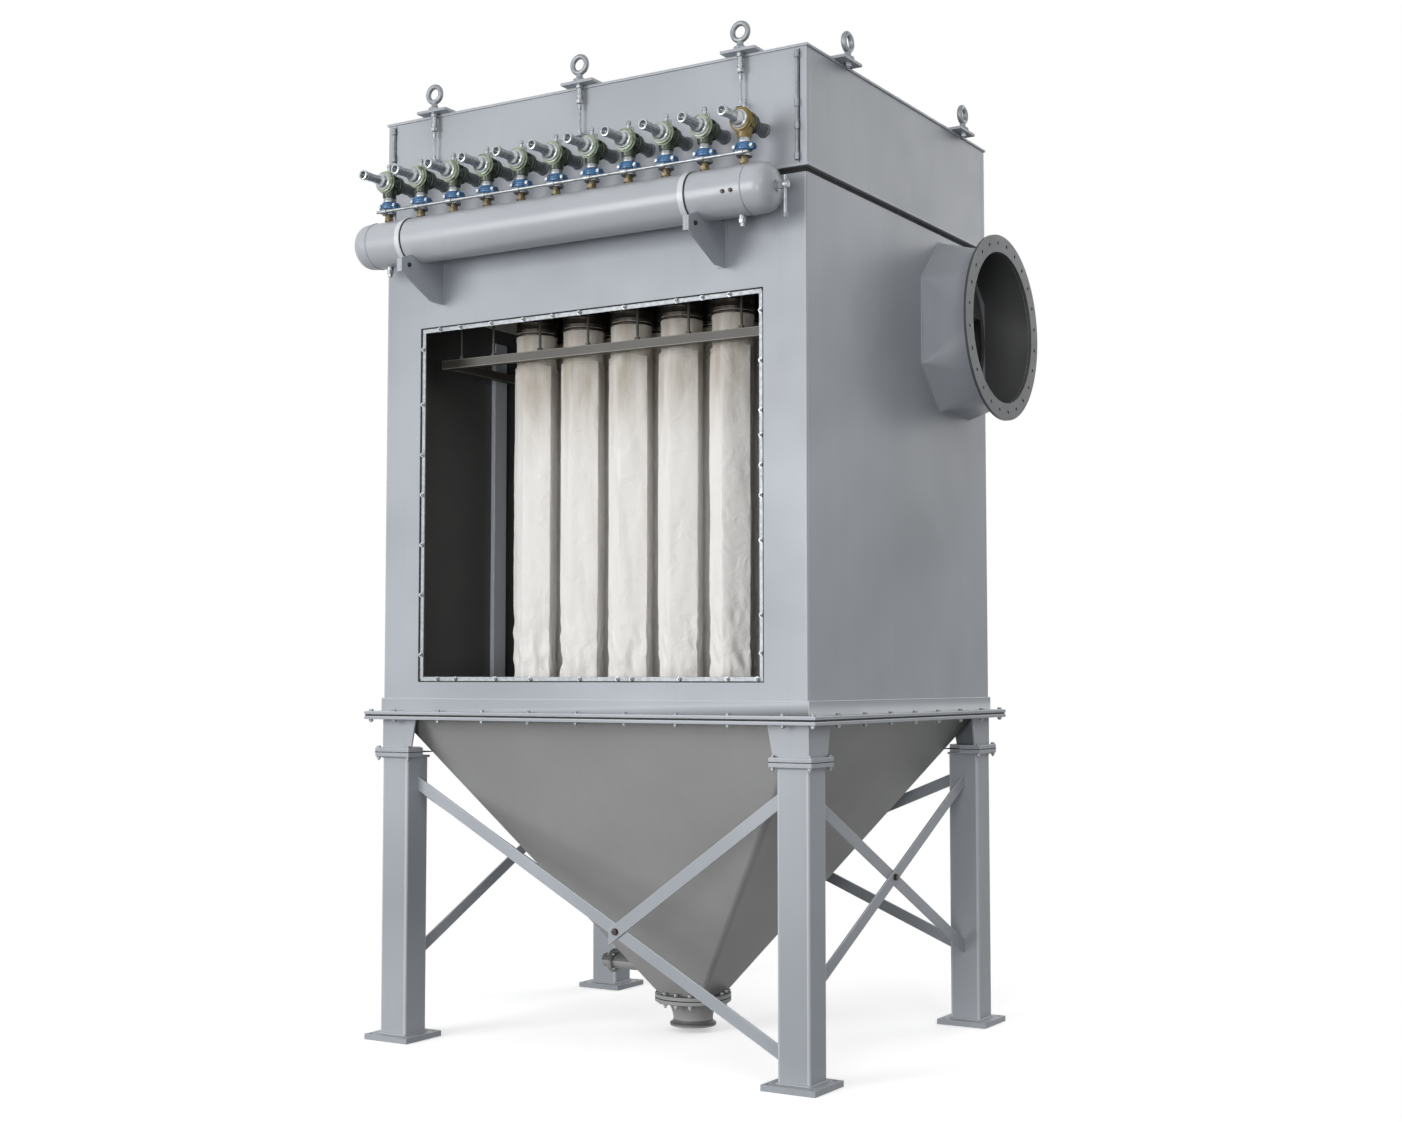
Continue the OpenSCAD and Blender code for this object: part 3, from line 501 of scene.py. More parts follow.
# The same enamel on the stiffeners inside, painted much paler as painted light in the housing's shade
STIFFENER_PAINT = SprayedPaint("stiffener_enamel_painted_light", "#dbe0e6", 0.4, Slot.HOUSING, shade="#cfd4da")
# Grey primer on the bags' guide frame and its hangers, pale along the edges as a painted highlight
GUIDE_PAINT = SprayedPaint("guide_primer", "#504e48", 0.45, Slot.HOUSING, shade="#44423d",
                           edge="#a09e97", edge_highlight_share=0.8)
# Black rubber sheet, cut: gaskets, seals, shims and the dark seam lines
GASKET = MouldedRubber("gasket_rubber_sheet", "#1b1b1c", 0.75, Slot.GASKET)
# Off-white polyester felt, needle-punched and sewn
FELT = NeedleFelt("needle_felt", "#f1efec", 0.95, Slot.FELT)
# Bright zinc plate on bolts, studs and rods: grey-white with dull patches
ZINC = BareMetal("zinc_plated_steel", "#a2a6a9", 0.42, Slot.ZINC)
# Hot-dip galvanised forgings: duller grey, soft spangle
FORGED = BareMetal("galvanised_forging", "#93979b", 0.46, Slot.ZINC, tarnish="#73777b", metallic=0.6)
# Turned yellow brass, browned where it is handled
BRASS = BareMetal("turned_brass", "#756a52", 0.42, Slot.BRASS, tarnish="#3f3729",
                  tarnish_share=0.75, metallic=0.8)
# Mill-finish steel pipe: dull grey, darkened as painted shade on the blow pipes
PIPE_STEEL = BareMetal("mill_finish_pipe_painted_shade", "#6a6e71", 0.46, Slot.HOUSING, tarnish="#484b4e", metallic=0.5)
# Die-cast aluminium actuators: pale grey, satin
ALLOY = BareMetal("die_cast_aluminium", "#c3c7c9", 0.28, Slot.ALLOY, tarnish="#7d8183", metallic=0.85)
# Oily black oxide on collars, snap bands, pins and plugs: brown-black with a soft shine
OXIDE = BareMetal("oxided_spring_steel", "#4a4540", 0.4, Slot.ZINC, tarnish="#2a2622", metallic=0.7)
# Blue enamel brushed on the cast pipe clamps, rubbed pale on their ribs
CLAMP_BLUE = CastPaint("blue_clamp_enamel", "#376a98", 0.28, Slot.CLAMP, dark_blotch="#1f4263",
                       rubbed="#a9bfd0", rubbed_share=0.4)
# Dark green enamel dipped on the cast valve bodies, glossy, darkened further with near-black blotches as
# painted shade
VALVE_GREEN = CastPaint("green_casting_enamel_painted_shade", "#2f3c28", 0.3, Slot.GREEN, dark_blotch="#171d13",
                        rubbed="#7c8e70", rubbed_share=0.35)
# The same green, thin and rubbed pale, on the valves' rims
VALVE_RIM = CastPaint("pale_green_seal_rim", "#99a58d", 0.26, Slot.GREEN, dark_blotch="#4c5c40",
                      rubbed="#e4e8dd")
# Olive enamel on the right end valve
VALVE_OLIVE = CastPaint("olive_casting_enamel", "#806a2b", 0.32, Slot.GREEN, dark_blotch="#463a18",
                        rubbed="#cbbd84")
# Dull dark green enamel on the rings behind the valves
REAR_RING = CastPaint("dark_coupling_enamel", "#2e3a2c", 0.42, Slot.GREEN, dark_blotch="#1b211a",
                      rubbed="#56644f")


def aimed(at: Sequence[float], axis: Sequence[float]) -> Matrix:
    """Gives the matrix that carries a shape drawn along +Z to a place and a direction."""
    return Matrix.Translation(at) @ Vector(axis).to_track_quat("Z", "Y").to_matrix().to_4x4()


def evenly(count: int, pitch: float) -> list[float]:
    """Gives places at a pitch, with zero in their middle."""
    return [(i - (count - 1) / 2) * pitch for i in range(count)]


def circle(radius: float, count: int, start: float = 0.0) -> list[Flat]:
    """Gives points round a circle, from an angle on.

    Args:
        radius: The circle's radius.
        count: The number of points.
        start: The first one's angle.

    Returns:
        The points, counterclockwise.
    """
    angles = [start + FULL_TURN * i / count for i in range(count)]
    return [(radius * math.cos(angle), radius * math.sin(angle)) for angle in angles]


def hexagon(across: float) -> list[Flat]:
    """Gives a hexagon's corners from its width across the flats."""
    return circle(across / math.sqrt(3), 6)


def barrel(radius: float, low: float, high: float, chamfer: float, inner: float = 0.0) -> list[Flat]:
    """Gives the profile of a round bar or ring with chamfered ends.

    Args:
        radius: The outer radius.
        low: Where it starts.
        high: Where it ends.
        chamfer: The size of both chamfers.
        inner: The radius that it starts from; zero is the axis.

    Returns:
        The radii and heights in order.
    """
    neck = radius - chamfer
    return [(inner, low), (neck, low), (radius, low + chamfer), (radius, high - chamfer),
            (neck, high), (inner, high)]


def rounded_oblong(half: Flat, radius: float, height: float, steps: int = 5) -> list[Vector]:
    """Gives the points of an oblong with round corners at a height.

    Args:
        half: Half sizes along X and Y.
        radius: The corners' radius.
        height: Where the points lie along Z.
        steps: Steps in each corner.

    Returns:
        The points, counterclockwise from above.
    """
    points = []
    for corner, (sx, sy) in enumerate(CORNERS_ROUND):
        for i in range(steps + 1):
            angle = (corner + i / steps) * QUARTER
            points.append(Vector((sx * (half[0] - radius) + radius * math.cos(angle),
                                  sy * (half[1] - radius) + radius * math.sin(angle), height)))
    return points


def loop_round(half: Flat, height: float, centre: Flat = (0.0, 0.0)) -> list[Point]:
    """Gives a closed oblong path at a height.

    Args:
        half: Half sizes along X and Y.
        height: Where the path lies along Z.
        centre: What it runs round.

    Returns:
        The path's corners, the first one again at the end.
    """
    return [(centre[0] + sx * half[0], centre[1] + sy * half[1], height)
            for sx, sy in (*CORNERS_ROUND, CORNERS_ROUND[0])]


def ring_path(x: float, middle: Flat, radius: float, count: int = 72) -> list[Point]:
    """Gives a closed round path in the plane across X.

    Args:
        x: Where the plane lies.
        middle: The circle's middle along Y and Z.
        radius: The circle's radius.
        count: The number of points.

    Returns:
        The path's points, the first one again at the end.
    """
    points = [(x, middle[0] + y, middle[1] + z) for y, z in circle(radius, count)]
    return points + points[:1]


class Form:
    """A mesh that grows from turned, cut, lofted and copied shapes."""

    def __init__(self) -> None:
        """Starts with nothing but the layer that marks rounded edges for their pale colour: a painted
        highlight on sprayed paint, wear on cast paint.
        """
        self.bm = bmesh.new()
        self.highlight_and_wear = self.bm.faces.layers.float.new(EDGE_HIGHLIGHT_AND_WEAR)

    @classmethod
    def of_node(cls, node: str) -> "Form":
        """Copies a CAD node, merged and with its flat faces joined.

        Args:
            node: The node's name.

        Returns:
            The copy.
        """
        form = cls()
        form.bm.from_mesh(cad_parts[node].data)
        bmesh.ops.remove_doubles(form.bm, verts=form.bm.verts, dist=1e-5)
        bmesh.ops.dissolve_limit(form.bm, angle_limit=math.radians(1), verts=form.bm.verts,
                                 edges=form.bm.edges)
        return form

    def lofted(self, loops: Sequence[Sequence[Vector]], closed: bool = False) -> "Form":
        """Joins loops of as many points each.

        Args:
            loops: The loops in order.
            closed: Whether the last joins the first; both get caps if not.

        Returns:
            The form itself.
        """
        rings = [[self.bm.verts.new(p) for p in loop] for loop in loops]
        pairs = list(zip(rings, rings[1:])) + ([(rings[-1], rings[0])] if closed else [])
        for low, high in pairs:
            for i in range(len(low)):
                j = (i + 1) % len(low)
                self.bm.faces.new((low[i], low[j], high[j], high[i]))
        if not closed:
            self.bm.faces.new(list(reversed(rings[0])))
            self.bm.faces.new(rings[-1])
        return self

    def prism(self, outline: Sequence[Flat], depth: float, at: Matrix) -> "Form":
        """Raises a flat outline by a depth along the matrix's Z axis."""
        return self.lofted([[at @ Vector((x, y, z)) for x, y in outline] for z in (0.0, depth)])

    def nut(self, across: float, low: float, depth: float, at: Matrix = HERE) -> "Form":
        """Raises a hexagon of that width from a height on the matrix's Z axis."""
        return self.prism(hexagon(across), depth, at @ Matrix.Translation((0, 0, low)))

    def block(self, low: Point, high: Point) -> "Form":
        """Adds a box between two corners."""
        outline = ((low[0], low[1]), (high[0], low[1]), (high[0], high[1]), (low[0], high[1]))
        return self.prism(outline, high[2] - low[2], Matrix.Translation((0, 0, low[2])))

    def turned(self, profile: Sequence[Flat], sides: int, at: Matrix = HERE,
               closed: bool = False) -> "Form":
        """Turns a profile of (radius, height) about the matrix's Z axis.

        Args:
            profile: The radii and heights in order; a radius of zero is a pole.
            sides: Steps round the axis.
            at: Where the axis lies.
            closed: Whether the profile joins its own start, as a ring's does.

        Returns:
            The form itself.
        """
        rings = []
        for radius, height in profile:
            spots = circle(radius, sides) if radius > 1e-6 else [(radius, 0.0)]
            rings.append([self.bm.verts.new(at @ Vector((x, y, height))) for x, y in spots])
        pairs = list(zip(rings, rings[1:])) + ([(rings[-1], rings[0])] if closed else [])
        for low, high in pairs:
            for i in range(max(len(low), len(high))):
                j = (i + 1) % sides
                corners = [low[i % len(low)], low[j % len(low)], high[j % len(high)], high[i % len(high)]]
                self.bm.faces.new(list(dict.fromkeys(corners)))
        if not closed:
            for ring in (rings[0], rings[-1]):
                if len(ring) > 1:
                    self.bm.faces.new(ring)
        return self

    def rounded(self, radius: float, segments: int = 2, keep: EdgeTest | None = None) -> "Form":
        """Rounds the sharp outer edges and marks the new faces for the pale edge colour: a painted
        highlight on sprayed paint, wear on cast paint.

        Args:
            radius: How far the rounding reaches.
            segments: Faces across a rounded edge.
            keep: Says of an edge whether it is rounded; all are without it.

        Returns:
            The form itself.
        """
        edges = [e for e in self.bm.edges
                 if len(e.link_faces) == 2 and e.is_convex and e.calc_face_angle(0.0) > SMOOTH_ANGLE
                 and (keep is None or keep(e))]
        made = bmesh.ops.bevel(self.bm, geom=edges, offset=radius, offset_type="OFFSET",
                               segments=segments, profile=0.5, affect="EDGES", clamp_overlap=True)
        for face in made["faces"]:
            face[self.highlight_and_wear] = 1.0
        return self

    def mesh(self, name: str) -> Mesh:
        """Closes the form for good.

        Args:
            name: The mesh's name.

        Returns:
            A smooth mesh with its sharp edges kept.
        """
        bmesh.ops.remove_doubles(self.bm, verts=self.bm.verts, dist=1e-6)
        bmesh.ops.recalc_face_normals(self.bm, faces=self.bm.faces)
        made = bpy.data.meshes.new(name)
        self.bm.to_mesh(made)
        self.bm.free()
        made.shade_smooth()
        made.set_sharp_from_angle(angle=SMOOTH_ANGLE)
        return made


def evaluated(mesh: Mesh, name: str, add: Callable[[Object], None]) -> Mesh:
    """Runs modifiers on a mesh and keeps what comes out as a plain mesh.

    Args:
        mesh: The mesh to start from.
        name: The new mesh's name.
        add: Puts the modifiers on the object that holds the mesh.

    Returns:
        The finished mesh, with no modifier left.
    """
    holder = bpy.data.objects.new(name + "_holder", mesh)
    bpy.context.scene.collection.objects.link(holder)
    add(holder)
    bpy.context.view_layer.update()
    graph = bpy.context.evaluated_depsgraph_get()
    made = bpy.data.meshes.new_from_object(holder.evaluated_get(graph))
    made.name = name
    bpy.data.objects.remove(holder)
    return made


def even_normals(holder: Object) -> None:
    """Weights the normals by face size, so that large flat faces stay flat beside rounded edges.

    Args:
        holder: The object that gets the modifier.
    """
    weighted = holder.modifiers.new("even_normals", "WEIGHTED_NORMAL")
    weighted.keep_sharp = True
    weighted.weight = 80


def set_piece(name: str, shape: Form | Mesh, finish: Finish, *nodes: str,
              slot: Slot | None = None) -> Object:
    """Sets a finished shape in the scene as a piece of the part.

    Args:
        name: The piece's name.
        shape: Its shape, in place.
        finish: What it is made of.
        *nodes: CAD nodes that the piece stands for.
        slot: A slot for it, where that isn't the finish's own; not used.

    Returns:
        The piece.
    """
    start = shape.mesh(name + "_start") if isinstance(shape, Form) else shape
    mesh = evaluated(start, name, even_normals)
    mesh.materials.clear()
    mesh.materials.append(finish.material())
    piece = bpy.data.objects.new(name, mesh)
    bpy.context.scene.collection.objects.link(piece)
    slot = slot or finish.slot
    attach(piece, BODY)
    if nodes:
        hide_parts(*nodes)
    LOG.info("%s: %d faces, %s", name, len(mesh.polygons), finish.name)
    return piece


def dress(node: str, finish: Finish, radius: float, segments: int = 2,
          keep: EdgeTest | None = None) -> None:
    """Replaces a CAD node by its copy with rounded edges and a finish.

    Args:
        node: The CAD node.
        finish: The copy's finish.
        radius: How far the rounding reaches.
        segments: Faces across a rounded edge.
        keep: Says of an edge whether it is rounded; all are without it.
    """
    form = Form.of_node(node).rounded(radius, segments, keep)
    set_piece(node + "_finished", form, finish, node)


@dataclass(frozen=True)
class Place:
    """Where a repeated part goes, and how it is turned, in radians about X, Y and Z."""

    at: Point
    turn: Point = (0.0, 0.0, 0.0)


class GrowingTree:
    """Geometry Nodes that grow a finished mesh from the points or lines of a plain one."""

    def __init__(self, name: str, **inputs: str) -> None:
        """Builds the tree with its named inputs.

        Args:
            name: The tree's name.
            **inputs: The socket types of its inputs by name.
        """
        self.net = Net(bpy.data.node_groups.new(name, "GeometryNodeTree"), "")
        socket = self.net.tree.interface.new_socket
        socket(name="Start", in_out="INPUT", socket_type="NodeSocketGeometry")
        kinds = {**inputs, "Finish": "NodeSocketMaterial"}
        self.inputs = {label: socket(name=label, in_out="INPUT", socket_type=kind).identifier
                       for label, kind in kinds.items()}
        socket(name="Grown", in_out="OUTPUT", socket_type="NodeSocketGeometry")
        given = self.net.add("NodeGroupInput").node.outputs
        real = self.net.add("GeometryNodeRealizeInstances", {"Geometry": self.grown(given)})
        coated = self.net.add("GeometryNodeSetMaterial", {"Geometry": real, "Material": given["Finish"]})
        self.net.add("NodeGroupOutput", {"Grown": coated})

    def grown(self, given: bpy.types.NodeOutputs) -> Socket:
        """Adds the nodes that make the shape.

        Args:
            given: The tree's inputs by name.

        Returns:
            The shape's socket.
        """
        raise NotImplementedError

    def run(self, start: Mesh, name: str, finish: Finish, **values: object) -> Mesh:
        """Runs the tree on a mesh.

        Args:
            start: The points or lines to start from.
            name: The new mesh's name.
            finish: Its material.
            **values: The tree's other inputs by name.

        Returns:
            What has grown, as a plain mesh.
        """
        def add(holder: Object) -> None:
            """Puts the tree on an object, with its inputs set.

            Args:
                holder: The object.
            """
            modifier = holder.modifiers.new("grow", "NODES")
            modifier.node_group = self.net.tree
            for key, value in {**values, "Finish": finish.material()}.items():
                modifier[self.inputs[key]] = value

        return evaluated(start, name, add)


class RepeatTree(GrowingTree):
    """Geometry Nodes that set one part on every point of a mesh."""

    def __init__(self) -> None:
        """Builds the tree with a part and its spin as inputs."""
        super().__init__("set_on_points", Part="NodeSocketObject", Spin="NodeSocketFloat",
                         Seed="NodeSocketInt")

    def grown(self, given: bpy.types.NodeOutputs) -> Socket:
        """Adds the nodes that place, turn and spin the copies.

        Args:
            given: The tree's inputs by name.

        Returns:
            The copies' socket.
        """
        part = self.net.add("GeometryNodeObjectInfo", {"Object": given["Part"]}, "Geometry")
        turn = self.net.add("GeometryNodeInputNamedAttribute", {"Name": TURN}, data_type="FLOAT_VECTOR")
        turn = self.net.add("FunctionNodeEulerToRotation", {"Euler": turn})
        placed = self.net.add("GeometryNodeInstanceOnPoints", {
            "Points": given["Start"], "Instance": part, "Rotation": turn})
        spin = self.net.add("FunctionNodeRandomValue", {
            "Min": 0.0, "Max": given["Spin"], "Seed": given["Seed"]}, data_type="FLOAT")
        spin = self.net.add("ShaderNodeCombineXYZ", {"Z": spin})
        spin = self.net.add("FunctionNodeEulerToRotation", {"Euler": spin})
        return self.net.add("GeometryNodeRotateInstances", {
            "Instances": placed, "Rotation": spin, "Local Space": True})

    def set_on(self, name: str, part: Form, places: Sequence[Place], finish: Finish, *nodes: str,
               slot: Slot | None = None, spin: float = 0.0) -> None:
        """Sets a repeated part as one piece.

        Args:
            name: The piece's name.
            part: The part, drawn at the origin.
            places: Where copies go.
            finish: What they are made of.
            *nodes: CAD nodes that the piece stands for.
            slot: A slot, passed on to set_piece.
            spin: The most that a copy turns about its own Z axis, by a fixed seed.
        """
        points = bpy.data.meshes.new(name + "_points")
        points.from_pydata([p.at for p in places], [], [])
        turns = points.attributes.new(TURN, "FLOAT_VECTOR", "POINT")
        turns.data.foreach_set("vector", [c for p in places for c in p.turn])
        model = bpy.data.objects.new(name + "_part", part.mesh(name + "_part"))
        mesh = self.run(points, name, finish, Part=model, Spin=spin, Seed=SPIN_SEED)
        bpy.data.objects.remove(model)
        set_piece(name, mesh, finish, *nodes, slot=slot)


class BeadTree(GrowingTree):
    """Geometry Nodes that run a rippled bead along the edges of a mesh, as a weld or a seal."""

    def __init__(self) -> None:
        """Builds the tree with the bead's sizes as inputs."""
        super().__init__("bead_along_edges", Radius="NodeSocketFloat", Ripple="NodeSocketFloat",
                         Pitch="NodeSocketFloat")

    def grown(self, given: bpy.types.NodeOutputs) -> Socket:
        """Adds the nodes that run a round bead whose every other ring is thicker.

        Args:
            given: The tree's inputs by name.

        Returns:
            The bead's socket.
        """
        curve = self.net.add("GeometryNodeMeshToCurve", {"Mesh": given["Start"]})
        step = self.net.add("ShaderNodeMath", {0: given["Pitch"], 1: 0.5}, operation="MULTIPLY")
        dense = self.net.add("GeometryNodeResampleCurve", {"Curve": curve, "Length": step}, mode="LENGTH")
        index = self.net.add("GeometryNodeInputIndex")
        odd = self.net.add("ShaderNodeMath", {0: index, 1: 1.0}, operation="PINGPONG")
        swell = self.net.add("ShaderNodeMath", {0: odd, 1: given["Ripple"], 2: 1.0},
                             operation="MULTIPLY_ADD")
        size = self.net.add("ShaderNodeMath", {0: swell, 1: given["Radius"]}, operation="MULTIPLY")
        ring = self.net.add("GeometryNodeCurvePrimitiveCircle", {"Resolution": 6, "Radius": 1.0}, "Curve")
        swelling = self.net.add("GeometryNodeSetCurveRadius", {"Curve": dense, "Radius": size})
        skin = self.net.add("GeometryNodeCurveToMesh", {
            "Curve": swelling, "Profile Curve": ring, "Fill Caps": True})
        # Newer versions take the size from an input of its own
        if "Scale" in skin.node.inputs:
            self.net.tree.links.new(size, skin.node.inputs["Scale"])
        return skin

    def run_along(self, name: str, paths: Sequence[Path], finish: Finish, radius: float,
                  ripple: float = 0.18, pitch: float = 0.008) -> None:
        """Sets beads along paths as one piece.

        Args:
            name: The piece's name.
            paths: Points in order, each path closed by its first point again.
            finish: What the beads are made of.
            radius: Their radius.
            ripple: How much thicker a ripple is, as a share.
            pitch: The distance between ripples.
        """
        points: list[Row] = []
        edges: list[tuple[int, int]] = []
        for path in paths:
            first, count = len(points), len(path) - 1
            points += [tuple(p) for p in path[:-1]]
            edges += [(first + i, first + (i + 1) % count) for i in range(count)]
        line = bpy.data.meshes.new(name + "_path")
        line.from_pydata(points, edges, [])
        mesh = self.run(line, name, finish, Radius=radius, Ripple=ripple, Pitch=pitch)
        mesh.shade_smooth()
        set_piece(name, mesh, finish)


def bolt(size: float, grip: float, tail: float = 0.006) -> Form:
    """Draws a through bolt: head and washer on top of zero, nut and tail under the grip.

    Args:
        size: The thread's diameter.
        grip: The thickness that it clamps; zero leaves only the head.
        tail: How far the thread stands out of the nut.

    Returns:
        The bolt along +Z.
    """
    across, washer, flange = 1.6 * size, 0.16 * size, 1.05 * size
    form = Form().turned([(flange, 0.0), (flange, washer)], 16)
    form.nut(across, washer, 0.62 * size)
    if grip:
        nut = -grip - washer - 0.8 * size
        form.turned([(flange, -grip), (flange, -grip - washer)], 16)
        form.nut(across, nut, 0.8 * size)
        form.turned([(0.42 * size, nut - tail), (0.5 * size, nut - tail + 0.001), (0.5 * size, nut)], 12)
    return form.rounded(0.0006, 1)


def upright(edge: bmesh.types.BMEdge) -> bool:
    """Says whether an edge runs straight up."""
    run = edge.verts[1].co - edge.verts[0].co
    return abs(run.z) > 0.999 * run.length


@dataclass
class Assembly:
    """A sub-assembly with the shared node trees and the housing's half sizes."""

    repeat: RepeatTree
    bead: BeadTree
    half_w: float = 0.9
    half_d: float = 0.75

    def build(self) -> None:
        """Builds and dresses every piece."""
        raise NotImplementedError


@dataclass
class Stand(Assembly):
    """Feet, legs, bolted leg plates, leg heads and braces."""

    leg: float = 0.12
    leg_foot: float = 0.02
    leg_top: float = 1.04
    plates_top: float = 1.072
    plate_reach: float = 0.02
    shim: float = 0.003
    shim_reach: float = 0.0006
    tube_radius: float = 0.009
    plate_bolt: float = 0.009
    brace_bolt: float = 0.012
    brace_grip: float = 0.016
    brace_y: float = 0.698
    brace_x: float = 0.848
    front_cross: Flat = (0.112, 0.455)
    cross_height: float = 0.62
    weld_r: float = 0.0045

    def build(self) -> None:
        """Builds and dresses the stand."""
        for node in ("base_plates", "leg_cap_plates", "leg_heads"):
            dress(node, FRAME_PAINT, 0.002)
        dress("legs", FRAME_PAINT, self.tube_radius, 4, upright)
        for node in ("front_brace_long", "front_brace_short", "braces_falling", "braces_rising"):
            dress(node, FRAME_PAINT, 0.0018)
        self.shims()
        self.bolts()
        self.welds()

    def centres(self) -> list[Flat]:
        """Gives the legs' middles."""
        x, y = self.half_w - self.leg / 2, self.half_d - self.leg / 2
        return [(sx * x, sy * y) for sx, sy in CORNERS]

    def shims(self) -> None:
        """Lays the thin rubber shims between the leg plates."""
        form = Form()
        middle = (self.leg_top + self.plates_top) / 2
        half = self.leg / 2 + self.plate_reach + self.shim_reach
        for x, y in self.centres():
            form.block((x - half, y - half, middle - self.shim / 2),
                       (x + half, y + half, middle + self.shim / 2))
        set_piece("leg_plate_shims", form, GASKET)

    def bolts(self) -> None:
        """Bolts the leg plates together and the braces where they cross."""
        out, back = self.plate_reach / 2, self.leg + self.plate_reach / 2
        places = [Place((sx * (self.half_w + a), sy * (self.half_d + b), self.plates_top))
                  for sx, sy in CORNERS for a, b in ((out, out), (out, -back), (-back, out))]
        grip = self.plates_top - self.leg_top
        self.repeat.set_on("leg_plate_bolts", bolt(self.plate_bolt, grip), places, FORGED, spin=FULL_TURN)
        x, z = self.front_cross
        crossings = [Place((x, -self.brace_y, z), (QUARTER, 0, 0)),
                     Place((0, self.brace_y, self.cross_height), (-QUARTER, 0, 0)),
                     Place((self.brace_x, 0, self.cross_height), (0, QUARTER, 0)),
                     Place((-self.brace_x, 0, self.cross_height), (0, -QUARTER, 0))]
        self.repeat.set_on("brace_crossing_bolts", bolt(self.brace_bolt, self.brace_grip), crossings,
                           OXIDE)

    def welds(self) -> None:
        """Runs weld beads round the legs' feet and heads."""
        half = self.leg / 2 + WELD_OFF
        heights = (self.leg_foot + WELD_OFF, self.leg_top - WELD_OFF)
        paths = [loop_round((half, half), height, centre)
                 for centre in self.centres() for height in heights]
        self.bead.run_along("leg_welds", paths, FRAME_PAINT, self.weld_r)


@dataclass
class BaseFrame(Assembly):
    """The bolted flanges between hopper and housing."""

    bolt_x: float = 0.931
    bolt_y: float = 0.781
    top: float = 1.208
    grip: float = 0.03
    bolt_size: float = 0.009
    bolt_tail: float = 0.003
    front_pitch: float = 0.205
    front_count: int = 9
    side_pitch: float = 0.2
    side_count: int = 7

    def build(self) -> None:
        """Builds and dresses the flanges, their gasket and bolts."""
        for node in ("hopper_flange_frame", "base_angle_frame"):
            dress(node, FRAME_PAINT, 0.0025)
        dress("hopper_gasket", GASKET, 0.001)
        spots = [(sx * self.bolt_x, sy * self.bolt_y) for sx, sy in CORNERS]
        for side in SIDES:
            spots += [(x, side * self.bolt_y) for x in evenly(self.front_count, self.front_pitch)]
            spots += [(side * self.bolt_x, y) for y in evenly(self.side_count, self.side_pitch)]
        self.repeat.set_on("base_flange_bolts", bolt(self.bolt_size, self.grip, self.bolt_tail),
                           [Place((x, y, self.top)) for x, y in spots], FORGED, spin=FULL_TURN)


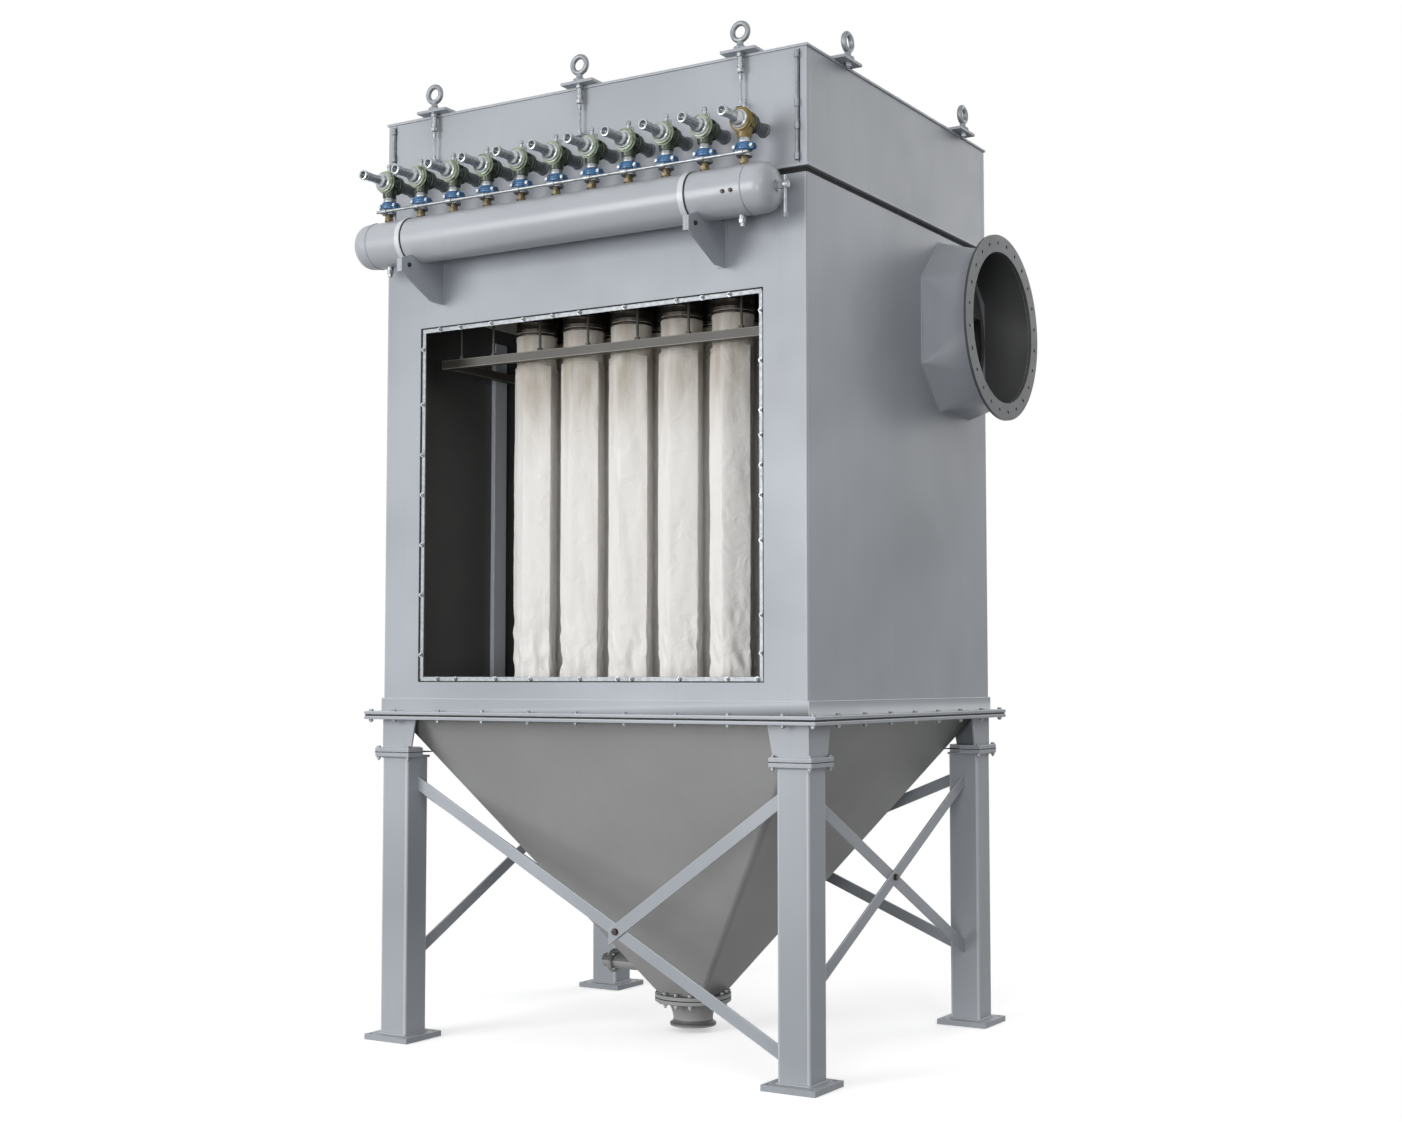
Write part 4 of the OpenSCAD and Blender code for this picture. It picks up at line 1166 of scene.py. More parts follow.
@dataclass
class Hopper(Assembly):
    """The sloped dust hopper, its outlet and its probe stub."""

    top_half: Flat = (0.86, 0.71)
    foot_half: float = 0.1
    top: float = 1.178
    foot: float = 0.143
    sheet: float = 0.005
    top_radius: float = 0.03
    foot_radius: float = 0.02
    weld_r: float = 0.004
    bore_r: float = 0.08
    flange_r: float = 0.145
    flange_t: float = 0.016
    flange_edge: float = 0.002
    joint: float = 0.0006
    bolt_circle: float = 0.124
    bolt_angles: Row = (-26, 0, 26)
    stub_height: float = 0.233
    stub_start: float = 0.15
    stub_end: float = 0.35
    stub_r: float = 0.03
    stub_flange_r: float = 0.045
    stub_flange_t: float = 0.0075
    stub_joint: float = 0.001
    stub_bolt_circle: float = 0.0375

    def build(self) -> None:
        """Builds and dresses the hopper."""
        self.shell()
        self.outlet()
        self.stub()
        rim = loop_round((self.top_half[0] + WELD_OFF, self.top_half[1] + WELD_OFF), self.top - WELD_OFF)
        neck = loop_round((self.foot_half + WELD_OFF, self.foot_half + WELD_OFF),
                          self.foot + 2 * WELD_OFF)
        self.bead.run_along("hopper_welds", [rim, neck], HOPPER_PAINT, self.weld_r)

    def shell(self) -> None:
        """Folds the four sloped plates as one sheet with rounded corners."""
        loops = []
        # The sheet's level width is more than its thickness, as the plates slope
        for inset, order in ((0.0, 1), (1.25 * self.sheet, -1)):
            foot, (width, depth) = self.foot_half - inset, self.top_half
            rings = [rounded_oblong((foot, foot), self.foot_radius - inset / 2, self.foot),
                     rounded_oblong((width - inset, depth - inset), self.top_radius - inset / 2,
                                    self.top)]
            loops += rings[::order]
        set_piece("hopper_shell", Form().lofted(loops, closed=True), HOPPER_PAINT,
                  "hopper_front_plate", "hopper_back_plate", "hopper_left_plate", "hopper_right_plate")

    def outlet(self) -> None:
        """Turns the outlet's flanges and flared spigot, and bolts them together."""
        seam = self.foot - self.flange_t
        low = seam - self.flange_t
        bore, r, edge, joint = self.bore_r, self.flange_r, self.flange_edge, self.joint
        upper = [(bore, self.foot), (r - edge, self.foot), (r, self.foot - edge), (r, seam + edge),
                 (r - edge, seam + joint), (bore, seam + joint)]
        set_piece("outlet_flange_finished", Form().turned(upper, 64, closed=True), HOPPER_PAINT,
                  "outlet_flange")
        spigot = [(bore, seam - joint), (r - edge, seam - joint), (r, seam - edge), (r, low + edge),
                  (r - edge, low), (0.099, low), (0.0945, 0.106), (0.089, 0.096), (0.083, 0.082),
                  (0.0785, 0.068), (0.0757, 0.056), (0.075, 0.046), (0.0765, 0.038),
                  (0.081, 0.0335), (0.0862, 0.0315), (0.088, 0.028), (0.088, 0.0235),
                  (0.0862, 0.0205), (0.082, 0.02), (0.073, 0.0205), (0.07, 0.024), (0.07, 0.058),
                  (bore, 0.108)]
        set_piece("outlet_spigot_finished", Form().turned(spigot, 64, closed=True), HOPPER_PAINT,
                  "outlet_spigot")
        angles = [math.radians(quarter * 90 + off) for quarter in range(4)
                  for off in self.bolt_angles]
        places = [Place((self.bolt_circle * math.cos(a), self.bolt_circle * math.sin(a), self.foot))
                  for a in angles]
        self.repeat.set_on("outlet_bolts", bolt(0.010, 2 * self.flange_t, 0.008), places, ZINC,
                           spin=FULL_TURN)

    def stub(self) -> None:
        """Turns the probe stub with its flange pair and domed cap."""
        at = aimed((0, 0, self.stub_height), (-1, 0, 0))
        start, end, r = self.stub_start, self.stub_end, self.stub_r
        joint = end + self.stub_flange_t + self.stub_joint
        face = joint + self.stub_flange_t
        form = Form().turned([(0.0, start), (r, start), (r, end), (0.0, end)], 32, at)
        for low in (end, joint):
            form.turned(barrel(self.stub_flange_r, low, low + self.stub_flange_t, 0.001), 32, at)
        form.turned([(0.0, face), (0.0275, face), (0.0275, face + 0.03), (0.025, face + 0.038),
                     (0.018, face + 0.043), (0.0, face + 0.044)], 32, at)
        set_piece("side_stub_finished", form, HOPPER_PAINT, "side_stub")
        places = [Place((-face, y, self.stub_height + z), (0, -QUARTER, 0))
                  for y, z in circle(self.stub_bolt_circle, 4, QUARTER / 2)]
        self.repeat.set_on("stub_bolts", bolt(0.006, face - end, 0.004), places, ZINC)


@dataclass
class Housing(Assembly):
    """The folded sheet housing with its open side, opening frame, seal and studs."""

    foot: float = 1.208
    top: float = 3.002
    wall: float = 0.005
    corner: float = 0.010
    corner_highlight: float = 0.5
    opening_half: float = 0.734
    sill: float = 1.316
    head: float = 2.634
    port_r: float = 0.275
    port_top: float = 2.74
    cut_reach: float = 0.05
    seal_r: float = 0.0026
    seal_inset: float = 0.002
    lip: float = 0.011
    studs_left: Row = (2.554, 2.347, 2.159, 2.01, 1.823, 1.638, 1.416)
    studs_right: Row = (2.556, 2.388, 2.221, 2.137, 2.037, 1.937, 1.787, 1.539, 1.414)
    studs_top: Row = (-0.645, -0.551, -0.407, -0.262, -0.133, -0.016, 0.176, 0.39, 0.494, 0.601)
    studs_sill: Row = (-0.645, -0.561, -0.378, -0.222, -0.009, 0.151, 0.209, 0.403, 0.592, 0.707)

    def build(self) -> None:
        """Builds and dresses the housing."""
        self.shell()
        dress("opening_frame", FORGED, 0.001)
        dress("wall_stiffeners", STIFFENER_PAINT, 0.004, 3)
        dress("housing_top_frame", INNER_PAINT, 0.001)
        self.seal()
        self.studs()

    def sheet(self) -> Form:
        """Folds the four walls as one sheet, with a painted highlight along its corners.

        Returns:
            The sheet before its holes are cut.
        """
        outer = (self.half_w, self.half_d)
        inner = (self.half_w - self.wall, self.half_d - self.wall)
        tight = self.corner - self.wall
        form = Form().lofted([rounded_oblong(outer, self.corner, self.foot),
                              rounded_oblong(outer, self.corner, self.top),
                              rounded_oblong(inner, tight, self.top),
                              rounded_oblong(inner, tight, self.foot)], closed=True)
        bmesh.ops.recalc_face_normals(form.bm, faces=form.bm.faces)
        # The rounded corners take part of the pale edge colour, a painted highlight
        for face in form.bm.faces:
            middle = face.calc_center_median()
            if (abs(middle.x) > self.half_w - self.corner
                    and abs(middle.y) > self.half_d - self.corner):
                face[form.highlight_and_wear] = self.corner_highlight
        return form

    def shell(self) -> None:
        """Cuts the opening and the gas port through the folded sheet."""
        reach = self.cut_reach
        opening = Form().block((-self.opening_half, -self.half_d - reach, self.sill),
                               (self.opening_half, -self.half_d + reach, self.head))
        across, up = DUCT_AXIS
        outline = [(y, min(z, self.port_top - up)) for y, z in circle(self.port_r, 96)]
        sideways = Matrix(((0, 0, 1, self.half_w - reach), (1, 0, 0, across), (0, 1, 0, up),
                           (0, 0, 0, 1)))
        port = Form().prism(outline, 2 * reach, sideways)
        cutters = [bpy.data.objects.new("cutter", f.mesh("cutter")) for f in (opening, port)]

        def cut(holder: Object) -> None:
            """Cuts both holes.

            Args:
                holder: The object that holds the sheet.
            """
            for cutter in cutters:
                modifier = holder.modifiers.new("cut", "BOOLEAN")
                modifier.object = cutter
                modifier.operation = "DIFFERENCE"
                modifier.solver = "EXACT"

        mesh = evaluated(self.sheet().mesh("housing_shell"), "housing_shell", cut)
        for cutter in cutters:
            bpy.data.objects.remove(cutter)
        mesh.set_sharp_from_angle(angle=SMOOTH_ANGLE)
        set_piece("housing_shell", mesh, HOUSING_PAINT, "front_wall", "back_wall", "left_wall",
                  "right_wall")

    def seal(self) -> None:
        """Runs the dark edge seal round the inside of the opening."""
        half, y = self.opening_half - self.seal_inset, -self.half_d + self.wall / 2
        low, high = self.sill + self.seal_inset, self.head - self.seal_inset
        path = [(half, y, low), (half, y, high), (-half, y, high), (-half, y, low), (half, y, low)]
        self.bead.run_along("opening_seal", [path], GASKET, self.seal_r, 0.0, 0.04)

    def studs(self) -> None:
        """Sets the door studs and their nuts on the opening frame's lip."""
        edge, head, sill = self.opening_half - self.lip, self.head - self.lip, self.sill + self.lip
        spots = [(-edge, z) for z in self.studs_left] + [(edge, z) for z in self.studs_right]
        spots += [(x, head) for x in self.studs_top] + [(x, sill) for x in self.studs_sill]
        y = -self.half_d + self.wall
        washer = 0.0015
        form = Form().turned([(0.0095, 0.0), (0.0095, washer)], 16)
        form.nut(0.013, washer, 0.0065)
        form.turned([(0.004, 0.008), (0.004, 0.013), (0.003, 0.014)], 12)
        self.repeat.set_on("opening_studs", form.rounded(0.0005, 1),
                           [Place((x, y, z), (QUARTER, 0, 0)) for x, z in spots], ZINC, spin=FULL_TURN)


@dataclass
class BagChamber(Assembly):
    """Tube sheet, ribs, guide frame, collars and the felt bags on their wire cages."""

    pitch: float = 0.216
    count: int = 5
    bag_top: float = 2.63
    bag_foot: float = 1.312
    bag_r: float = 0.08
    wire_r: float = 0.0862
    cuff_r: float = 0.0768
    hem: float = 2.503
    hem_step: float = 0.003
    felt: float = 0.0025
    sides: int = 5
    facing: float = math.radians(-52)
    fold_reach: float = 0.34
    calm_foot: float = 0.09
    collar_r: float = 0.074
    collar_wall: float = 0.003
    collar_foot: float = 2.6
    collar_top: float = 2.75
    guide_top: float = 2.542
    guide_y: float = 0.559
    rib_foot: float = 2.69
    ribs: Row = (-0.692, -0.54, -0.324, -0.108, 0.108, 0.324, 0.54, 0.692)

    def build(self) -> None:
        """Builds and dresses what is inside the housing."""
        dress("tube_sheet", INNER_PAINT, 0.001)
        dress("sheet_ribs", INNER_PAINT, 0.0015)
        dress("bag_guide_frame", GUIDE_PAINT, 0.003, 3)
        self.hangers()
        self.collars()
        self.bags()

    def spots(self) -> list[Flat]:
        """Gives the bags' places, the front row first."""
        steps = evenly(self.count, self.pitch)
        return [(x, y) for y in steps for x in steps]

    def hangers(self) -> None:
        """Hangs the guide frame on threaded rods with nuts."""
        length, washer = self.rib_foot - self.guide_top, 0.0015
        form = Form().turned([(0.005, 0.0), (0.005, length)], 14)
        for low in (0.0, length - 0.012):
            form.nut(0.018, low + washer, 0.009)
            form.turned([(0.011, low), (0.011, low + washer)], 16)
        places = [Place((x, side * self.guide_y, self.guide_top))
                  for x in self.ribs for side in SIDES]
        self.repeat.set_on("guide_hangers_finished", form, places, GUIDE_PAINT, "guide_hangers",
                           slot=Slot.INNER, spin=FULL_TURN)

    def collars(self) -> None:
        """Sets the rolled collars and the snap bands that hold the cuffs."""
        r, low, high = self.collar_r, self.collar_foot, self.collar_top
        profile = [(r - self.collar_wall, high), (r - self.collar_wall, low), (r - 0.001, low),
                   (r, low + 0.004), (r, low + 0.03)]
        for middle in (low + 0.042, low + 0.066):
            profile += [(r + 0.004 * math.sin(math.pi * k / 6), middle + 0.014 * (k / 6 - 0.5))
                        for k in range(1, 6)]
        profile += [(r, high)]
        places = [Place((x, y, 0.0)) for x, y in self.spots()]
        self.repeat.set_on("bag_collars_finished", Form().turned(profile, 40, closed=True), places, OXIDE,
                           "bag_collars", slot=Slot.INNER)
        r, low = self.cuff_r, self.bag_top - 0.013
        band = Form().turned([(r - 0.001, low), (r + 0.0022, low + 0.001), (r + 0.003, low + 0.0055),
                              (r + 0.0022, low + 0.01), (r - 0.001, low + 0.011)], 40, closed=True)
        self.repeat.set_on("snap_bands", band, places, OXIDE, slot=Slot.INNER)

    def radius(self, height: float) -> Flat:
        """Gives a bag's size over the cage wires.

        Args:
            height: Where along the bag.

        Returns:
            The radius there, and how angular the bag is.
        """
        if height > self.hem + self.hem_step:
            lip = max(0.0, 1 - abs(height - (self.bag_top - 0.022)) / 0.01)
            return self.cuff_r + 0.0012 * lip, 0.1
        if height > self.hem:
            share = (height - self.hem) / self.hem_step
            return self.wire_r + (self.cuff_r - self.wire_r) * share, 0.8 - 0.7 * share
        seam = max(0.0, 1 - abs(height - (self.hem - 0.02)) / 0.004)
        return self.wire_r - 0.0016 * seam, 0.88

    def slack(self, spot: Vector, height: float) -> float:
        """Gives how far the felt stands out of its even shape, or in.

        Args:
            spot: The bag's own place in the noise, with the direction round the bag.
            height: Where along the bag.

        Returns:
            Ripples and creases, and folds near the foot that calm down at the foot itself.
        """
        ripple = noise.noise(1.5 * spot + Vector((0, 0, 5 * height)))
        crease = noise.noise(2.4 * spot + Vector((6 * height, 5, 24 * height)))
        fold = abs(noise.noise(1.9 * spot + Vector((9 * height, 7, 13 * height))))
        rise = height - self.bag_foot
        low = max(0.0, 1 - rise / self.fold_reach) * min(1.0, 0.25 + rise / self.calm_foot)
        return 0.0028 * ripple + 0.0011 * crease + low * (0.0065 * crease - 0.019 * fold)

    def heights(self, rows: int) -> list[float]:
        """Gives the heights of a bag's rings, closer at the hem and the cuff.

        Args:
            rows: Even steps along the bag.

        Returns:
            The heights from the foot up.
        """
        drop = self.bag_top - self.bag_foot
        found = [self.bag_foot + drop * (i / rows) ** 0.9 for i in range(rows + 1)]
        found += [self.hem + rise for rise in (-0.024, -0.02, -0.016, -0.003, 0.0, 0.0031, 0.006)]
        found += [self.bag_top - below for below in (0.032, 0.022, 0.014, 0.003)]
        return sorted(set(round(height, 5) for height in found))

    def bag(self, x: float, y: float, steps: int, rows: int) -> Form:
        """Shapes one bag: felt drawn over cage wires, with a hem, a cuff and folds near its foot.

        Args:
            x: The bag's place across.
            y: The bag's place from front to back.
            steps: Points round the bag.
            rows: Even steps along it.

        Returns:
            The bag, with the felt's own thickness.
        """
        facing = self.facing + 0.09 * noise.noise(Vector((x * 9, y * 9, 3.1)))
        sector = FULL_TURN / self.sides
        heights = self.heights(rows)
        outer, inner = [], []
        for height in heights:
            base, angular = self.radius(height)
            lean = 0.0012 * Vector((noise.noise(Vector((x * 7, y * 5, height * 1.4))),
                                    noise.noise(Vector((x * 5, y * 7, height * 1.4 + 9))), 0.0))
            centre = Vector((x, y, height)) + lean
            floor = Vector((0, 0, self.felt if height == heights[0] else 0.0))
            loop_out, loop_in = [], []
            for i in range(steps):
                angle = FULL_TURN * i / steps
                around = Vector((math.cos(angle), math.sin(angle), 0.0))
                off = (angle - facing + sector / 2) % sector - sector / 2
                flat = math.cos(sector / 2) / math.cos(off)
                even = base * (1 - angular + angular * flat ** 0.92)
                slack = self.slack(Vector((7 * x, 7 * y, 0.0)) + around, height)
                radius = min(even + slack, self.wire_r)
                loop_out.append(centre + around * radius)
                loop_in.append(centre + around * (radius - self.felt) + floor)
            outer.append(loop_out)
            inner.append(loop_in)
        return Form().lofted(outer + inner[::-1])

    def bags(self) -> None:
        """Hangs the bags, the front row the finest, each in needle felt."""
        for i, (x, y) in enumerate(self.spots()):
            steps, rows = (90, 96) if i < self.count else (40, 28)
            bag = self.bag(x, y, steps, rows)
            piece = set_piece(f"filter_bag_{i + 1:02d}", bag, FELT, "filter_bags")


@dataclass
class Plenum(Assembly):
    """The clean-air plenum: seam, lip, posts, panels, roof, hinge and latch rods."""

    post: float = 0.032
    rod_r: float = 0.0045
    knuckle_r: float = 0.0085
    knuckle_l: float = 0.026
    seam: Flat = (3.035, 3.42)
    seam_w: float = 0.003
    seam_out: float = 0.001
    hinge: Flat = (3.042, 3.413)
    hinge_knuckles: Row = (3.042, 3.1455, 3.2214, 3.387)
    latch: Flat = (3.283, 3.413)
    latch_knuckles: Row = (3.283, 3.387)

    def build(self) -> None:
        """Builds and dresses the plenum."""
        dress("seam_gasket", GASKET, 0.001)
        dress("plenum_lip", FRAME_PAINT, 0.002)
        dress("plenum_corner_posts", FRAME_PAINT, 0.0028, 3, upright)
        for node in ("plenum_front_panel", "plenum_walls"):
            dress(node, FRAME_PAINT, 0.0015)
        dress("roof_panel", FRAME_PAINT, 0.003)
        self.rods()

    def rods(self) -> None:
        """Turns the hinge and latch rods with their knuckles, and lays the panel's side seams."""
        form, seams = Form(), Form()
        front, edge = -self.half_d, self.half_w - self.post
        for x, (low, high), knuckles in ((edge, self.hinge, self.hinge_knuckles),
                                         (-edge, self.latch, self.latch_knuckles)):
            at = Matrix.Translation((x, front - self.knuckle_r, 0))
            form.turned(barrel(self.rod_r, low, high, 0.001), 16, at)
            for z in knuckles:
                form.turned(barrel(self.knuckle_r, z, z + self.knuckle_l, 0.0015), 20, at)
            near = x + self.rod_r
            seams.block((near, front - self.seam_out, self.seam[0]),
                        (near + self.seam_w, front, self.seam[1]))
        set_piece("panel_rods_finished", form, FORGED, "panel_rods")
        set_piece("panel_seams", seams, GASKET)


@dataclass
class LiftingEyes(Assembly):
    """Forged lifting eyes on the roof's edge, their plates, nuts and stays."""

    plate_top: float = 3.445
    plate_t: float = 0.01
    shank_end: float = 3.365
    short_end: float = 3.415
    shank_r: float = 0.007
    ring_height: float = 0.0615
    ring_r: float = 0.02925
    bar_r: float = 0.00925
    bar_depth: float = 0.0108
    across: float = 0.922
    along: float = 0.772
    front_pitch: float = 0.66
    side_y: float = 0.49
    stay_foot: float = 3.26

    def places(self) -> list[Place]:
        """Gives the eyes' places at the height of their plates.

        Returns:
            The front and back places in turn, then those of the sides.
        """
        found = []
        for x in evenly(3, self.front_pitch):
            found.append(Place((x, -self.along, self.plate_top)))
            found.append(Place((x, self.along, self.plate_top), (0, 0, math.pi)))
        return found + [Place((sx * self.across, sy * self.side_y, self.plate_top),
                              (0, 0, sx * QUARTER)) for sx, sy in CORNERS]

    def build(self) -> None:
        """Builds and dresses the eyes."""
        dress("eye_plates", FRAME_PAINT, 0.002)
        front = [place for place in self.places() if place.turn == (0.0, 0.0, 0.0)]
        other = [place for place in self.places() if place not in front]
        for name, places, end in (("front", front, self.shank_end),
                                  ("other", other, self.short_end)):
            self.repeat.set_on(name + "_lifting_eyes", self.eye(end), places, FORGED, "lifting_eyes")
            self.repeat.set_on(name + "_eye_nuts", self.nuts(end), places, ZINC)
        self.stays()

    def eye(self, end: float) -> Form:
        """Forges one eye: a ring on a neck, a collar and a shank.

        Args:
            end: The height of the shank's end.

        Returns:
            The eye, with its plate's top at zero.
        """
        loops = []
        for i in range(40):
            angle = FULL_TURN * i / 40 - QUARTER
            around = Vector((math.cos(angle), 0.0, math.sin(angle)))
            centre = Vector((0, 0, self.ring_height)) + around * self.ring_r
            # The forging tapers a little towards the top of the ring
            depth = self.bar_depth * min(1.0 - 0.08 * math.sin(angle), 1.0)
            loops.append([centre + around * (self.bar_r * a) + Vector((0, depth * b, 0))
                          for a, b in circle(1.0, 14)])
        form = Form().lofted(loops, closed=True)
        form.turned([(0.0, 0.0), (0.022, 0.0), (0.023, 0.001), (0.023, 0.007), (0.0205, 0.0095),
                     (0.015, 0.0115), (0.0125, 0.016), (0.0118, 0.022), (0.0112, 0.028), (0.0, 0.03)], 28)
        low, r = end - self.plate_top, self.shank_r
        return form.turned([(0.0, low), (r - 0.001, low), (r, low + 0.001), (r, 0.0), (0.0, 0.0)], 20)

    def nuts(self, end: float) -> Form:
        """Draws the washer and nut under a plate, and on a long shank the sleeve and end nut.

        Args:
            end: The height of the shank's end.

        Returns:
            The nuts, with the plate's top at zero.
        """
        under, low = -self.plate_t, end - self.plate_top
        form = Form().turned([(0.0145, under - 0.0025), (0.0145, under)], 24)
        form.nut(0.022, under - 0.0135, 0.011)
        if end < self.short_end:
            form.turned([(0.0098, low + 0.015), (0.0098, under - 0.0155), (0.0085, under - 0.0135)], 20)
            form.turned([(0.0112, low + 0.022), (0.0118, low + 0.024), (0.0118, low + 0.029),
                         (0.0112, low + 0.031)], 20)
            form.nut(0.021, low + 0.003, 0.011)
        return form.rounded(0.0006, 1)

    def stays(self) -> None:
        """Hangs the thin stays under the front eyes, down to their lugs."""
        form = Form()
        foot, top = self.stay_foot, self.shank_end
        for x in evenly(3, self.front_pitch):
            at = Matrix.Translation((x, -self.along, 0))
            form.turned([(0.0032, foot), (0.0032, top)], 12, at)
            form.turned([(0.0042, foot), (0.0055, foot + 0.003), (0.0055, foot + 0.014),
                         (0.0042, foot + 0.018)], 12, at)
            form.turned([(0.004, top - 0.022), (0.0062, top - 0.018), (0.0062, top - 0.003),
                         (0.005, top)], 12, at)
        set_piece("eye_stays_finished", form, ZINC, "eye_stays")
        dress("stay_lugs", FRAME_PAINT, 0.002)


@dataclass
class AirHeader(Assembly):
    """The compressed-air header: vessel, straps, seams, brackets, plugs and end tap."""

    y: float = HEADER_Y
    z: float = 2.93
    r: float = 0.084
    left: float = -0.847
    right: float = 0.803
    dome: float = 0.057
    straps: Flat = (-0.674, 0.54)
    strap_w: float = 0.022
    liner_w: float = 0.005
    seams: Flat = (-0.826, 0.766)
    drains: Flat = (-0.774, 0.73)
    plugs: Flat = (0.702, 0.732)
    plug_drop: float = 0.016
    brackets: Flat = (-0.63, 0.586)
    bracket_t: float = 0.008
    bracket_back: float = 0.13
    bracket_front: float = -0.11
    bracket_top: float = -0.062
    bracket_foot: float = -0.216
    horn: Flat = (-0.134, -0.085)
    bracket_hole: Flat = (-0.07, -0.104)

    def build(self) -> None:
        """Builds and dresses the header."""
        self.vessel()
        self.bands()
        self.bracketry()
        self.taps()
        self.lever()
        self.face_plugs()

    def along(self) -> Matrix:
        """Gives the matrix that lays a turned shape along the header's axis, heights as X."""
        return aimed((0, self.y, self.z), (1, 0, 0))

    def vessel(self) -> None:
        """Turns the vessel with its dished ends."""
        steps = 12
        turns = [QUARTER * i / steps for i in range(1, steps + 1)]
        shape = [(self.r * math.sin(t) ** 0.7, max(math.cos(t), 0.0) ** 0.75) for t in turns]
        profile = [(0.0, self.left - self.dome)]
        profile += [(radius, self.left - self.dome * rise) for radius, rise in shape]
        profile += [(radius, self.right + self.dome * rise) for radius, rise in reversed(shape)]
        profile += [(0.0, self.right + self.dome)]
        set_piece("header_vessel", Form().turned(profile, 64, self.along()), HEADER_PAINT,
                  "header_tank", "header_ends")

    def bands(self) -> None:
        """Sets the strap bands, their liners and the welded seams round the vessel."""
        straps, liners = Form(), Form()
        r, half = self.r, self.strap_w / 2
        for x in self.straps:
            straps.turned(barrel(r + 0.004, x - half, x + half, 0.001, r - 0.001), 64, self.along(),
                          closed=True)
            low, high = x + half, x + half + self.liner_w
            liners.turned([(r - 0.001, low), (r + 0.0022, low), (r + 0.0022, high),
                           (r - 0.001, high)], 64, self.along(), closed=True)
        set_piece("header_straps", straps, STRAP_PAINT)
        set_piece("strap_liners", liners, GASKET)
        loops = [ring_path(x, (self.y, self.z), r + 0.0002) for x in self.seams]
        self.bead.run_along("header_seams", loops, FRAME_PAINT, 0.0022, 0.15)

    def bracketry(self) -> None:
        """Cuts the bracket plates, folds their edges and bolts them to the wall."""
        plates, folds, bolts, pins = Form(), Form(), [], []
        half = self.bracket_t / 2
        front, back = self.bracket_front, self.bracket_back
        low, high = self.bracket_foot, self.bracket_top
        outline = ((back, high), (-0.052, high), (front, self.horn[1]), (front, self.horn[0]),
                   (0.062, low), (back, low))
        for x in self.brackets:
            at = Matrix(((0, 0, 1, x - half), (1, 0, 0, self.y), (0, 1, 0, self.z), (0, 0, 0, 1)))
            plates.prism(outline, self.bracket_t, at)
            folds.block((x - half - 0.014, self.y + front - 0.0005, self.z + self.horn[0]),
                        (x - half, self.y + front + 0.004, self.z + self.horn[1]))
            wall = self.y + back
            folds.block((x - 0.03, wall - 0.003, self.z + low),
                        (x + half + 0.007, wall + 0.0005, self.z + high))
            bolts += [Place((x - 0.017, wall - 0.003, self.z + z), (QUARTER, 0, 0))
                      for z in (low + 0.03, high - 0.03)]
            pins.append(Place((x + half, self.y + self.bracket_hole[0],
                               self.z + self.bracket_hole[1]), (0, QUARTER, 0)))
        set_piece("header_brackets_finished", plates.rounded(0.0015, 2), FRAME_PAINT, "header_brackets")
        set_piece("bracket_edges", folds, FRAME_PAINT)
        self.repeat.set_on("bracket_bolts", bolt(0.008, 0.0), bolts, ZINC, spin=FULL_TURN)
        self.repeat.set_on("bracket_pins", bolt(0.008, 0.0), pins, OXIDE)

    def taps(self) -> None:
        """Turns the drain plugs under the vessel and the boss and tap on its end."""
        form = Form()
        under, end = self.z - self.r, self.right + self.dome
        for x in self.drains:
            at = Matrix.Translation((x, self.y, 0))
            form.turned([(0.013, under + 0.004), (0.013, under - 0.012)], 24, at)
            form.nut(0.022, under - 0.024, 0.012, at)
            form.turned([(0.007, under - 0.036), (0.0085, under - 0.034), (0.0085, under - 0.024)],
                        16, at)
        at = self.along()
        form.turned([(0.0, end - 0.006), (0.02, end - 0.006), (0.02, end + 0.006),
                     (0.014, end + 0.008), (0.0, end + 0.008)], 28, at)
        form.nut(0.025, end + 0.008, 0.014, at)
        form.turned([(0.0, end + 0.02), (0.0105, end + 0.02), (0.0135, end + 0.026),
                     (0.0135, end + 0.036), (0.0105, end + 0.042), (0.0, end + 0.044)], 24, at)
        set_piece("header_taps", form.rounded(0.0008, 1), ZINC, "header_fittings")

    def lever(self) -> None:
        """Hangs the lever on the end tap, with a ball at its foot."""
        x, y, z = self.right + self.dome + 0.031, self.y, self.z
        at = Matrix.Translation((x, y, z))
        form = Form().turned([(0.0045, 0.0), (0.0045, 0.026), (0.003, 0.028)], 14, at)
        form.block((x - 0.0025, y - 0.006, z - 0.096), (x + 0.0025, y + 0.006, z + 0.03))
        form.turned([(0.0, -0.11), (0.006, -0.1085), (0.0085, -0.102), (0.006, -0.0955),
                     (0.0, -0.094)], 18, at)
        set_piece("tap_lever", form.rounded(0.0008, 1), FORGED)

    def face_plugs(self) -> None:
        """Sets the two plugs on the vessel's face, a little under its middle."""
        form = Form()
        slant = math.asin(-self.plug_drop / self.r)
        outward = Vector((0.0, -math.cos(slant), math.sin(slant)))
        for x in self.plugs:
            at = aimed(Vector((x, self.y, self.z)) + outward * (self.r - 0.002), outward)
            form.turned([(0.0075, 0.0), (0.0075, 0.004)], 18, at)
            form.nut(0.010, 0.004, 0.006, at)
        set_piece("header_face_plugs", form, OXIDE)


